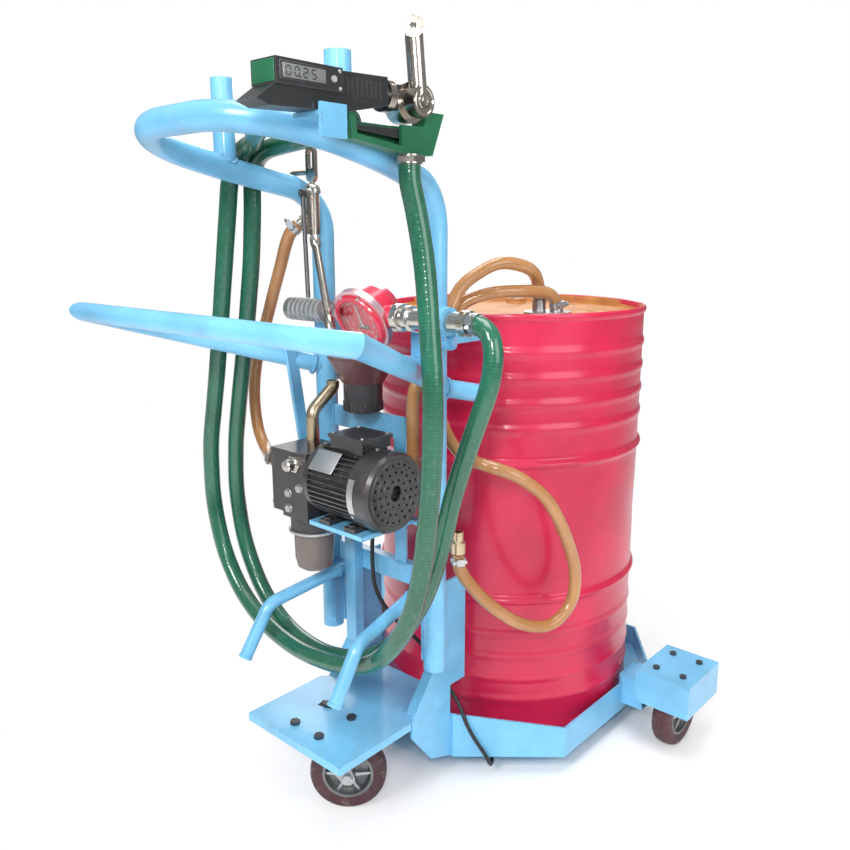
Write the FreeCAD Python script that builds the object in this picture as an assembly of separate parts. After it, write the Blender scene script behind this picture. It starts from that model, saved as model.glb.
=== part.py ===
import FreeCAD, Part
import math
import os

# Drum trolley with an electric oil pump, flow meter and two dispensing guns.
# Millimetres, +Z up. The origin is on the floor under the drum's axis.
# -Y is the operator's side (push handle), +X and -X are the two sides.
# Heights below are measured from a level FLOOR mm under the ground; the last
# step lowers every piece by FLOOR, so that the wheels stand on z = 0.

# ---- driving dimensions ----
FLOOR = 28.0
DRUM_RADIUS = 286.0
DRUM_HEIGHT = 880.0
DRUM_BASE = 86.0
DRUM_SKIN = 1.2
DRUM_HOOPS = (
    (75.0, 2.0), (125.0, 2.0), (175.0, 2.0), (225.0, 2.0), (300.0, 7.0),
    (585.0, 7.0), (655.0, 3.0), (705.0, 3.0), (755.0, 3.0), (805.0, 3.0),
)
LARGE_BUNG = (183.0, -130.0, 42.0)
SMALL_BUNG = (-120.0, 185.0, 17.0)
SUCTION_PLACE = (168.0, -138.0)
RETURN_PLACE = (198.0, -122.0)
DRUM_PIPE = 13.0
POST_X = 143.0
POST_Y = -418.0
POST_FOOT = 305.0
FRAME_TUBE = 21.2
FRAME_WALL = 3.0
HOOP_HEIGHT = 1185.0
HOOP_SLOPE = 0.22
HOOP_HALF_WIDTH = 188.0
HOOP_FLARE_Y = -590.0
HOOP_FRONT_Y = -808.0
HANDLE_TUBE = 16.85
HANDLE_WALL = 2.6
HANDLE_HALF_WIDTH = 351.0
HANDLE_Y = -799.0
HANDLE_Z = 978.0
HANDLE_POST_Z = 858.0
PLATE_TOP = 206.0
PLATE_THICKNESS = 6.0
PLATE_HALF_WIDTH = 130.0
PLATE_FRONT = -655.0
SHEET = 5.0
FLANGE_WIDTH = 16.0
CASTER_Y = -577.0
CASTER_TRAIL = 46.0
CASTER_HEADING = 42.0
WHEEL_RADIUS = 74.0
WHEEL_WIDTH = 40.0
AXLE_RADIUS = 6.0
AXLE_HEIGHT = FLOOR + WHEEL_RADIUS
CROWN_FOOT = 179.2
SWIVEL_RADIUS = 8.0
STUB_PLACES = ((188.0, -672.0, 1356.0), (-187.0, -600.0, 1374.0))
STUB_TUBE = 19.0
STUB_BORE = 16.5
STUB_BORE_DEPTH = 80.0
TRAY_HALF_WIDTH = 296.0
TRAY_FRONT = -345.0
TRAY_CORNER_Y = -192.0
TRAY_REAR_CORNER = (190.0, 160.0)
TRAY_BACK = 300.0
TRAY_WALL_FOOT = 68.0
TRAY_WALL_TOP = 134.0
TRAY_FRONT_TOP = 165.0
SIDE_BOX_X = 413.0
SIDE_BOX_Y = 68.5
SIDE_BOX_REACH = (60.0, 73.5)
SIDE_BOX_FOOT = 133.0
MOTOR_Y = -515.0
MOTOR_Z = 675.0
MOTOR_FEET_X = (5.0, 70.0)
MOTOR_FOOT_REACH = 40.0
MOTOR_BOLT = 4.0
COWL_HOLE = 2.8
SHAFT_RADIUS = 9.0
RUNNING_GAP = 0.05
GEAR_TEETH = 12
GEAR_PITCH = 21.0
GEAR_WIDTH = 25.0
GEAR_X = -111.0
IDLER_PIN = 6.0
BOWL_X = -82.0
METER_CENTRE = (26.0, -462.0, 972.0)
METER_RADIUS = 60.0
METER_TILT = math.radians(28.0)
FILTER_AXIS = (-25.0, -432.0)
DELIVERY_HOSE = 16.5
OIL_HOSE = 12.0
SPOUT_PIVOT = (232.0, -580.0, 1294.0)


# ---- shape helpers ----
def vec(point):
    return FreeCAD.Vector(*point)


def block(low, high):
    size = [high[i] - low[i] for i in range(3)]
    return Part.makeBox(size[0], size[1], size[2], vec(low))


def rod(start, end, radius):
    along = vec(end) - vec(start)
    return Part.makeCylinder(radius, along.Length, vec(start), along)


def tube(start, end, radius, wall):
    return rod(start, end, radius).cut(rod(start, end, radius - wall))


def face_of(points):
    corners = [vec(p) for p in points]
    return Part.Face(Part.makePolygon(corners + [corners[0]]))


def prism(points, push):
    return face_of(points).extrude(vec(push))


def lathe(profile, origin, axis):
    """Turn (radius, height) corners about an axis that starts at origin."""
    solid = face_of([(r, 0.0, h) for r, h in profile]).revolve(vec((0, 0, 0)), vec((0, 0, 1)), 360)
    turn = FreeCAD.Rotation(vec((0, 0, 1)), vec(axis))
    solid.Placement = FreeCAD.Placement(vec(origin), turn)
    return solid


def rounded_wire(points, bends):
    """A chain of straight lines whose corners are arcs of the given radii."""
    corners = [vec(p) for p in points]
    edges = []
    start = corners[0]
    for i, radius in enumerate(bends, 1):
        back = (corners[i - 1] - corners[i]).normalize()
        ahead = (corners[i + 1] - corners[i]).normalize()
        half = back.getAngle(ahead) / 2
        inward = (back + ahead).normalize()
        centre = corners[i] + inward * (radius / math.sin(half))
        enter = corners[i] + back * (radius / math.tan(half))
        leave = corners[i] + ahead * (radius / math.tan(half))
        edges.append(Part.makeLine(start, enter))
        edges.append(Part.Arc(enter, centre - inward * radius, leave).toShape())
        start = leave
    edges.append(Part.makeLine(start, corners[-1]))
    return Part.Wire(edges)


def sweep(wire, radius, transition=0):
    first = wire.OrderedEdges[0]
    origin = first.valueAt(first.FirstParameter)
    ring = Part.Wire(Part.makeCircle(radius, origin, first.tangentAt(first.FirstParameter)))
    return wire.makePipeShell([ring], True, False, transition)


def bent_rod(points, bends, radius):
    return sweep(rounded_wire(points, bends), radius)


def bent_tube(points, bends, radius, wall):
    wire = rounded_wire(points, bends)
    return sweep(wire, radius).cut(sweep(wire, radius - wall))


def hose(points, radius):
    """A flexible line: each corner of its course is an arc as wide as its neighbours allow."""
    course = [vec(p) for p in points]
    bends = []
    for before, here, after in zip(course, course[1:], course[2:]):
        half = (before - here).getAngle(after - here) / 2
        room = 0.46 * min((before - here).Length, (after - here).Length)
        bends.append(room * math.tan(half))
    return sweep(rounded_wire(points, bends), radius)


def hexagon(base, axis, across_flats, height):
    corner = across_flats / math.sqrt(3)
    angles = [k * math.pi / 3 for k in range(6)]
    points = [(corner * math.cos(a), corner * math.sin(a), 0.0) for a in angles]
    solid = prism(points, (0, 0, height))
    turn = FreeCAD.Rotation(vec((0, 0, 1)), vec(axis))
    solid.Placement = FreeCAD.Placement(vec(base), turn)
    return solid


def bolt(seat, axis, radius, length):
    """A hexagon bolt: its head stands on seat along axis, its shank goes the other way."""
    end = [seat[i] - axis[i] * length for i in range(3)]
    return hexagon(seat, axis, radius * 3.3, radius * 1.3).fuse(rod(end, seat, radius))


def fused(first, *others):
    return first.fuse(list(others)).removeSplitter()


def mirrored(shape):
    return shape.mirror(vec((0, 0, 0)), vec((1, 0, 0)))


def pair(shape):
    """The piece and its mirror image on the trolley's other side."""
    return Part.makeCompound([shape, mirrored(shape)])


def motor_bolt_places():
    return [(x, MOTOR_Y + side * MOTOR_FOOT_REACH) for x in MOTOR_FEET_X for side in (-1, 1)]


# ---- welded frame ----
def hoop_z(y):
    return HOOP_HEIGHT + HOOP_SLOPE * (POST_Y - y)


def hoop_wire():
    right = [
        (POST_X, POST_Y, POST_FOOT),
        (POST_X, POST_Y, HOOP_HEIGHT),
        (HOOP_HALF_WIDTH, HOOP_FLARE_Y, hoop_z(HOOP_FLARE_Y)),
        (HOOP_HALF_WIDTH, HOOP_FRONT_Y, hoop_z(HOOP_FRONT_Y)),
    ]
    left = [(-x, y, z) for x, y, z in reversed(right)]
    return rounded_wire(right + left, [85.0, 400.0, 150.0, 150.0, 400.0, 85.0])


def frame_members():
    wire = hoop_wire()
    hoop_solid = sweep(wire, FRAME_TUBE)
    hoop = hoop_solid.cut(sweep(wire, FRAME_TUBE - FRAME_WALL))
    stubs = []
    for x, y, top in STUB_PLACES:
        socket = rod((x, y, hoop_z(y)), (x, y, top), STUB_TUBE).cut(hoop_solid)
        stubs.append(socket.cut(rod((x, y, top - STUB_BORE_DEPTH), (x, y, top + 1), STUB_BORE)))

    handle_wire = Part.makePolygon([
        vec((POST_X, POST_Y, HANDLE_POST_Z)),
        vec((HANDLE_HALF_WIDTH, HANDLE_Y, HANDLE_Z)),
        vec((-HANDLE_HALF_WIDTH, HANDLE_Y, HANDLE_Z)),
        vec((-POST_X, POST_Y, HANDLE_POST_Z)),
    ])
    handle_solid = sweep(handle_wire, HANDLE_TUBE, 1)
    handle = handle_solid.cut(sweep(handle_wire, HANDLE_TUBE - HANDLE_WALL, 1)).cut(hoop_solid)

    stay_top = (-160.0, -495.0, 905.0)
    stay_low = (-188.0, -432.0, 618.0)
    stay = prism([
        (stay_top[0] - 4, stay_top[1] - 12, stay_top[2]),
        (stay_top[0] + 4, stay_top[1] - 12, stay_top[2]),
        (stay_top[0] + 4, stay_top[1] + 12, stay_top[2]),
        (stay_top[0] - 4, stay_top[1] + 12, stay_top[2]),
    ], [stay_low[i] - stay_top[i] for i in range(3)])
    lug = block((-190.0, -438.0, 612.0), (-150.0, -424.0, 640.0))
    stay = stay.fuse(lug).cut(hoop_solid).cut(handle_solid)

    lower_bar = block((-POST_X, -418.0, 457.0), (POST_X, -398.0, 497.0))
    lower_bar = lower_bar.cut(block((-POST_X, -415.0, 460.0), (POST_X, -401.0, 494.0))).cut(hoop_solid)
    panel = block((-POST_X, -420.0, 742.0), (71.0, -415.0, 784.0)).cut(hoop_solid)
    panel = panel.fuse(block((43.0, -420.0, 497.0), (71.0, -415.0, 742.0))).cut(lower_bar)
    upright = block((-78.0, -440.0, 300.0), (-50.0, -418.0, 592.0))
    upright = upright.cut(block((-75.0, -437.0, 300.0), (-53.0, -421.0, 592.0)))
    lower_bar = lower_bar.fuse(upright)
    shelf = block((-34.0, MOTOR_Y - 51, 592.0), (106.0, -441.0, 600.0))
    shelf = shelf.fuse(block((-124.0, -441.0, 592.0), (124.0, -421.0, 600.0))).cut(hoop_solid)
    for x, y in motor_bolt_places():
        shelf = shelf.cut(rod((x, y, 590.0), (x, y, 602.0), MOTOR_BOLT + 0.6))
    shelf = shelf.cut(rod((-5.0, -431.0, 590.0), (-5.0, -431.0, 602.0), 6.0))

    hook = bent_rod([(98.0, -418.0, 448.0), (124.0, -598.0, 417.0), (126.0, -658.0, 327.0)], [40.0], 12.5)
    hook = hook.cut(lower_bar).cut(block((60.0, -418.0, 400.0), (140.0, -380.0, 500.0)))
    hook = hook.cut(hoop_solid)

    drum_stop = tube((POST_X, POST_Y, 850.0), (170.0, -322.0, 828.0), HANDLE_TUBE, HANDLE_WALL)
    drum_stop = drum_stop.cut(hoop_solid).cut(handle_solid)
    upper_stop = block((144.0, -412.0, 922.0), (152.0, -268.0, 948.0)).cut(hoop_solid)
    cradle = block((205.0, -768.0, 1258.0), (260.0, -724.0, 1264.0))
    cradle = cradle.fuse(block((254.5, -768.0, 1232.0), (260.0, -724.0, 1274.0))).cut(hoop_solid)
    clip_course = [(POST_X, POST_Y, 926.0), (190.0, -424.0, 926.0), (206.0, -450.0, 948.0)]
    pipe_clip = bent_rod(clip_course, [18.0], 8.0)
    pipe_clip = pipe_clip.cut(hoop_solid)
    clip_ring = tube((198.0, -462.0, 972.0), (214.0, -462.0, 972.0), 24.0, 6.9)
    pipe_clip = pipe_clip.cut(rod((190.0, -462.0, 972.0), (222.0, -462.0, 972.0), 22.0)).fuse(clip_ring)
    strap = block((88.0, -420.0, 894.0), (POST_X, -415.0, 943.0)).fuse(
        block((-60.0, -478.0, 894.0), (POST_X - 10, -415.0, 899.0))).cut(hoop_solid)
    strap = strap.cut(rod((0.0, -445.0, 880.0), (0.0, -445.0, 905.0), 15.0))
    brackets = Part.makeCompound([
        drum_stop, mirrored(drum_stop), upper_stop, mirrored(upper_stop), pipe_clip, strap, cradle, stay,
    ])
    return {
        "hoop_frame": hoop, "hoop_stub_tubes": Part.makeCompound(stubs), "push_handle": handle,
        "lower_cross_frame": lower_bar, "cross_panel": panel,
        "motor_shelf": shelf, "hose_hooks": pair(hook), "post_brackets": brackets,
    }


def caster_bolt_places():
    front = [(x, CASTER_Y + y, PLATE_TOP) for x in (-34.0, 34.0) for y in (-41.0, 41.0)]
    side = [(s * SIDE_BOX_X + x, SIDE_BOX_Y + y, PLATE_TOP)
            for s in (-1, 1) for x in (-30.0, 30.0) for y in (-40.0, 40.0)]
    return front, side


def base_members():
    front_bolts, side_bolts = caster_bolt_places()
    under = PLATE_TOP - PLATE_THICKNESS
    neck = POST_X - FRAME_TUBE - 0.8
    web = neck - SHEET
    half = [(PLATE_HALF_WIDTH, PLATE_FRONT), (PLATE_HALF_WIDTH, -471.0), (web, -458.0), (web, -345.0)]
    outline = half + [(-x, y) for x, y in reversed(half)]
    plate = prism([(x, y, under) for x, y in outline], (0, 0, PLATE_THICKNESS))
    drop = 10.0
    lips = [
        block((-PLATE_HALF_WIDTH, PLATE_FRONT, under - drop), (PLATE_HALF_WIDTH, PLATE_FRONT + 4, under)),
        block((PLATE_HALF_WIDTH - 4, PLATE_FRONT + 4, under - drop), (PLATE_HALF_WIDTH, -471.0, under)),
        block((-PLATE_HALF_WIDTH, PLATE_FRONT + 4, under - drop), (-PLATE_HALF_WIDTH + 4, -471.0, under)),
    ]
    plate = fused(plate, *lips)
    for x, y, z in front_bolts:
        plate = plate.cut(rod((x, y, under - 1), (x, y, z + 1), 5.5))

    # each gusset stands beside a post, from the tray's wall up to the lower cross bar
    gusset = prism([(web, y, z) for y, z in (
        (-458.0, under), (-458.0, 160.0), (-403.0, 90.0), (TRAY_FRONT, TRAY_WALL_FOOT), (TRAY_FRONT, 228.0),
        (-300.0, 228.0), (-300.0, 455.0), (-410.0, 455.0), (-410.0, 318.0), (-384.0, 306.0), (-384.0, 296.0),
    )], (SHEET, 0, 0))
    flange = prism([(web - FLANGE_WIDTH, y, z) for y, z in (
        (-458.0, under), (-458.0 + SHEET, under), (-384.0 + SHEET, 296.0), (-384.0, 296.0),
    )], (FLANGE_WIDTH, 0, 0))
    backing = block((neck, -432.0, 320.0), (neck + 12, -400.0, 450.0))
    post = rod((POST_X, POST_Y, 0.0), (POST_X, POST_Y, 500.0), FRAME_TUBE)
    flange = flange.cut(block((-200.0, -500.0, 0.0), (200.0, -300.0, PLATE_TOP)))
    gusset = fused(gusset, backing.cut(post), flange)

    # the tray is an octagon of upright walls round a floor that carries the drum, open to the front
    right = [(neck, TRAY_FRONT), (TRAY_HALF_WIDTH, TRAY_CORNER_Y),
             (TRAY_HALF_WIDTH, TRAY_REAR_CORNER[1]), (TRAY_REAR_CORNER[0], TRAY_BACK)]
    octagon = right + [(-x, y) for x, y in reversed(right)]
    inside = face_of([(x, y, TRAY_WALL_FOOT) for x, y in octagon])
    rise = vec((0, 0, TRAY_FRONT_TOP - TRAY_WALL_FOOT))
    tray = Part.Face(inside.makeOffset2D(SHEET, 2).Wires[0]).extrude(rise).cut(inside.extrude(rise))
    tray = tray.cut(block((-400.0, -400.0, 0.0), (400.0, TRAY_FRONT, 300.0)))
    above_walls = [(TRAY_FRONT, TRAY_FRONT_TOP), (TRAY_CORNER_Y, TRAY_WALL_TOP),
                   (400.0, TRAY_WALL_TOP), (400.0, 300.0), (TRAY_FRONT, 300.0)]
    tray = tray.cut(prism([(-400.0, y, z) for y, z in above_walls], (800.0, 0, 0)))
    tray = fused(tray, prism([(x, y, DRUM_BASE - 6) for x, y in octagon], (0, 0, 5.9)))
    box_in = SIDE_BOX_X - SIDE_BOX_REACH[0]
    arm = block((TRAY_HALF_WIDTH + SHEET, SIDE_BOX_Y - 35, 90.0), (box_in, SIDE_BOX_Y + 35, 160.0))
    arm = arm.cut(block((TRAY_HALF_WIDTH, SIDE_BOX_Y - 31, 94.0), (box_in, SIDE_BOX_Y + 31, 156.0)))
    rib = block((TRAY_HALF_WIDTH, SIDE_BOX_Y - 35, TRAY_WALL_TOP),
                (TRAY_HALF_WIDTH + SHEET, SIDE_BOX_Y + 35, 160.0))
    box_out = SIDE_BOX_X + SIDE_BOX_REACH[0]
    reach = SIDE_BOX_REACH[1]
    box = block((box_in, SIDE_BOX_Y - reach, SIDE_BOX_FOOT), (box_out, SIDE_BOX_Y + reach, PLATE_TOP))
    box = box.cut(block((box_in + 4, SIDE_BOX_Y - reach + 4, SIDE_BOX_FOOT - 10),
                        (box_out - 4, SIDE_BOX_Y + reach - 4, under)))
    box = fused(box, arm, rib)
    for x, y, z in side_bolts:
        box = box.cut(rod((x, y, under - 1), (x, y, z + 1), 4.5))
    bolts = [bolt(p, (0, 0, 1), 5.0, 18.0) for p in front_bolts]
    bolts += [bolt(p, (0, 0, 1), 4.0, 18.0) for p in side_bolts]
    bolts += [bolt((x, y, 608.0), (0, 0, 1), MOTOR_BOLT, 24.0) for x, y in motor_bolt_places()]
    return {
        "front_plate": plate, "neck_gussets": pair(gusset), "drum_tray": tray,
        "side_caster_boxes": pair(box), "frame_bolts": Part.makeCompound(bolts),
    }


# ---- drum ----
def drum_members():
    top = DRUM_BASE + DRUM_HEIGHT
    skin = [(DRUM_RADIUS + 4, 0.0), (DRUM_RADIUS + 4, 12.0), (DRUM_RADIUS, 16.0)]
    for height, swell in DRUM_HOOPS:
        skin += [(DRUM_RADIUS, height - 14), (DRUM_RADIUS + swell, height - 4),
                 (DRUM_RADIUS + swell, height + 4), (DRUM_RADIUS, height + 14)]
    skin += [(DRUM_RADIUS, DRUM_HEIGHT - 12), (DRUM_RADIUS + 4, DRUM_HEIGHT - 9),
             (DRUM_RADIUS + 4, DRUM_HEIGHT)]
    inner = [(r - DRUM_SKIN, h) for r, h in reversed(skin[3:-3])]
    rim = [(DRUM_RADIUS - 4, DRUM_HEIGHT), (DRUM_RADIUS - 4, DRUM_HEIGHT - 20)]
    base = [(DRUM_RADIUS - 4, 22.0), (0.0, 22.0), (0.0, 19.0),
            (DRUM_RADIUS - 6, 19.0), (DRUM_RADIUS - 6, 0.0)]
    shell = lathe(skin + rim + inner + base, (0, 0, DRUM_BASE), (0, 0, 1))
    head_z = top - 20.0
    head = rod((0, 0, head_z - 2), (0, 0, head_z), DRUM_RADIUS - 4.05)
    bungs = []
    for x, y, radius in (LARGE_BUNG, SMALL_BUNG):
        boss = tube((x, y, head_z), (x, y, head_z + 12), radius + 6, 6.0)
        head = head.cut(rod((x, y, head_z - 3), (x, y, head_z + 1), radius)).fuse(boss)
        bungs.append(rod((x, y, head_z - 6), (x, y, head_z + 14), radius - 0.1))
    x, y, radius = LARGE_BUNG
    bungs[0] = bungs[0].fuse(rod((x, y, head_z + 14), (x, y, head_z + 19), radius + 4))
    x, y, radius = SMALL_BUNG
    bungs[1] = bungs[1].fuse(hexagon((x, y, head_z + 14), (0, 0, 1), radius * 1.3, 10.0))
    pipes = []
    for place, foot, rise in ((SUCTION_PLACE, DRUM_BASE + 50, top + 22), (RETURN_PLACE, top - 90, top + 4)):
        x, y = place
        bungs[0] = bungs[0].cut(rod((x, y, 0.0), (x, y, top + 40), DRUM_PIPE + 0.1))
        pipes.append(tube((x, y, foot), (x, y, rise), DRUM_PIPE, 2.5))
    return {"drum_shell": shell, "drum_top_head": head, "drum_bungs": Part.makeCompound(bungs),
            "drum_pipes": Part.makeCompound(pipes)}


# ---- motor and gear pump, both on an axis along X ----
def x_lathe(profile):
    """Turn (radius, x) corners about the motor's axis."""
    return lathe(profile, (0.0, MOTOR_Y, MOTOR_Z), (1, 0, 0))


def ring_teeth(root, tip, half_root, half_tip, count, phase):
    points = []
    for k in range(count):
        middle = phase + k * 2 * math.pi / count
        for radius, offset in ((root, -half_root), (tip, -half_tip), (tip, half_tip), (root, half_root)):
            points.append((radius * math.cos(middle + offset), radius * math.sin(middle + offset)))
    return points


def toothed(points, x0, x1, y, z):
    return prism([(x0, y + a, z + b) for a, b in points], (x1 - x0, 0, 0))


def gear(x0, y, z, phase, bore):
    outline = ring_teeth(16.6, 23.8, math.radians(8.6), math.radians(3.2), GEAR_TEETH, phase)
    solid = toothed(outline, x0, x0 + GEAR_WIDTH, y, z)
    return solid.cut(rod((x0 - 1, y, z), (x0 + GEAR_WIDTH + 1, y, z), bore))


def motor_members():
    fins = ring_teeth(60.0, 67.0, math.radians(1.6), math.radians(1.1), 40, 0.0)
    housing = toothed(fins, -20.0, 86.0, MOTOR_Y, MOTOR_Z)
    feet = [block((x - 14, MOTOR_Y - 49, 600.0), (x + 14, MOTOR_Y + 49, 608.0)) for x in MOTOR_FEET_X]
    webs = [block((x - 10, MOTOR_Y + s * 24 - 4, 600.0), (x + 10, MOTOR_Y + s * 24 + 4, 634.0))
            for x in MOTOR_FEET_X for s in (-1, 1)]
    seat = block((10.0, MOTOR_Y - 26, 725.0), (84.0, MOTOR_Y + 36, 744.0))
    housing = fused(housing, seat, *feet, *webs).cut(
        rod((-25.0, MOTOR_Y, MOTOR_Z), (90.0, MOTOR_Y, MOTOR_Z), 38.0))
    for x, y in motor_bolt_places():
        housing = housing.cut(rod((x, y, 599.0), (x, y, 609.0), MOTOR_BOLT + 0.6))
    bearing_x = (-32.0, 86.0)
    shields = [
        x_lathe([(20.0, -32.0), (66.0, -32.0), (66.0, -20.0), (20.0, -20.0)]),
        x_lathe([(20.0, 86.0), (62.0, 86.0), (62.0, 98.0), (20.0, 98.0)]),
    ]
    bore = SHAFT_RADIUS + RUNNING_GAP
    bearings = [x_lathe([(bore, x), (20.0, x), (20.0, x + 12), (bore, x + 12)]) for x in bearing_x]
    cowl = x_lathe([(62.0, 88.0), (71.0, 88.0), (72.0, 132.0), (68.0, 139.0), (14.0, 139.0),
                    (14.0, 136.5), (66.0, 136.5), (69.5, 130.0), (69.0, 99.0), (62.0, 98.5)])
    for ring_radius, count in ((24.0, 10), (38.0, 16), (52.0, 22)):
        for k in range(count):
            a = k * 2 * math.pi / count
            y = MOTOR_Y + ring_radius * math.cos(a)
            z = MOTOR_Z + ring_radius * math.sin(a)
            cowl = cowl.cut(rod((134.0, y, z), (141.0, y, z), COWL_HOLE))
    rotor = x_lathe([(0.0, GEAR_X), (SHAFT_RADIUS, GEAR_X), (SHAFT_RADIUS, -12.0), (36.5, -12.0),
                     (36.5, 78.0), (SHAFT_RADIUS, 78.0), (SHAFT_RADIUS, 126.0), (0.0, 126.0)])
    fan = x_lathe([(SHAFT_RADIUS, 104.0), (20.0, 104.0), (20.0, 107.0), (58.0, 107.0), (58.0, 110.0),
                   (20.0, 110.0), (20.0, 122.0), (SHAFT_RADIUS, 122.0)])
    for k in range(8):
        blade = block((110.0, MOTOR_Y - 1.2, MOTOR_Z + 18), (126.0, MOTOR_Y + 1.2, MOTOR_Z + 58))
        blade.rotate(vec((0, MOTOR_Y, MOTOR_Z)), vec((1, 0, 0)), k * 45.0)
        fan = fan.fuse(blade)
    box = block((6.0, MOTOR_Y - 30, 744.0), (88.0, MOTOR_Y + 40, 760.0)).fuse(
        block((3.0, MOTOR_Y - 33, 760.0), (91.0, MOTOR_Y + 43, 767.0)))
    return {"motor_housing": housing, "motor_end_shields": Part.makeCompound(shields), "fan_cowl": cowl,
            "motor_bearings": Part.makeCompound(bearings), "rotor_shaft": rotor, "cooling_fan": fan,
            "terminal_box": box}


def pump_members():
    idler_z = MOTOR_Z - 2 * GEAR_PITCH
    pocket = GEAR_X - 0.3
    body = block((pocket, MOTOR_Y - 50, 592.0), (-40.0, MOTOR_Y + 50, 722.0))
    body = body.fuse(x_lathe([(0.0, -40.0), (58.0, -40.0), (58.0, -32.0), (0.0, -32.0)]))
    body = body.fuse(rod((BOWL_X, MOTOR_Y, 560.0), (BOWL_X, MOTOR_Y, 592.0), 44.0).common(
        block((-140.0, -600.0, 560.0), (-38.0, -440.0, 592.0))))
    for z in (MOTOR_Z, idler_z):
        body = body.cut(rod((pocket - 1, MOTOR_Y, z), (-85.7, MOTOR_Y, z), 24.3))
    body = body.cut(rod((-90.0, MOTOR_Y, MOTOR_Z), (-30.0, MOTOR_Y, MOTOR_Z), SHAFT_RADIUS + RUNNING_GAP))
    body = body.fuse(rod((pocket, MOTOR_Y, idler_z), (-60.0, MOTOR_Y, idler_z), IDLER_PIN))
    cover = block((-140.0, MOTOR_Y - 50, 600.0), (pocket, MOTOR_Y + 50, 722.0))
    cover = cover.fuse(block((-146.0, MOTOR_Y - 34, 620.0), (-140.0, MOTOR_Y + 34, 702.0)))
    for y in (MOTOR_Y - 40, MOTOR_Y + 40):
        for z in (612.0, 710.0):
            cover = cover.fuse(hexagon((-140.0, y, z), (-1, 0, 0), 13.0, 6.0))
    drive = gear(GEAR_X, MOTOR_Y, MOTOR_Z, -math.pi / 2, SHAFT_RADIUS)
    idler = gear(GEAR_X, MOTOR_Y, idler_z, math.pi / 2 + math.pi / GEAR_TEETH, IDLER_PIN + RUNNING_GAP)
    cup = [(36.0, 0.0), (39.0, 0.0), (38.0, -56.0), (34.0, -74.0), (26.0, -80.0), (0.0, -80.0),
           (0.0, -77.0), (25.0, -77.0), (31.0, -72.0), (35.0, -55.0)]
    bowl = lathe(cup, (BOWL_X, MOTOR_Y, 560.0), (0, 0, 1))
    port_left = lathe([(7.0, 0.0), (13.0, 0.0), (13.0, 10.0), (9.0, 10.0), (9.0, 30.0), (7.0, 30.0)],
                      (-146.0, MOTOR_Y - 8, 680.0), (-1, 0, 0))
    port_back = lathe([(7.0, 0.0), (15.0, 0.0), (15.0, 10.0), (9.0, 10.0), (9.0, 28.0), (7.0, 28.0)],
                      (-76.0, MOTOR_Y + 50, 640.0), (0, 1, 0))
    riser = bent_tube([(-76.0, MOTOR_Y, 722.0), (-76.0, MOTOR_Y, 790.0), (-76.0, -462.0, 830.0),
                       (-76.0, -462.0, 842.0)], [22.0, 10.0], 12.0, 3.0)
    tail_fitting = lathe([(6.0, 0.0), (11.0, 0.0), (14.0, 4.0), (14.0, 24.0), (10.0, 28.0), (10.0, 44.0),
                          (6.0, 44.0)], (192.0, -410.0, 546.0), (0, 0, 1))
    clip = block((150.0, -416.0, 560.0), (180.0, -404.0, 574.0)).cut(
        rod((POST_X, POST_Y, 500.0), (POST_X, POST_Y, 600.0), FRAME_TUBE))
    tail_fitting = tail_fitting.fuse(clip)
    fittings = Part.makeCompound([port_left, port_back, riser, tail_fitting])
    return {"pump_body": body, "pump_cover": cover, "drive_gear": drive, "idler_gear": idler,
            "strainer_bowl": bowl, "pump_fittings": fittings}


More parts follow.
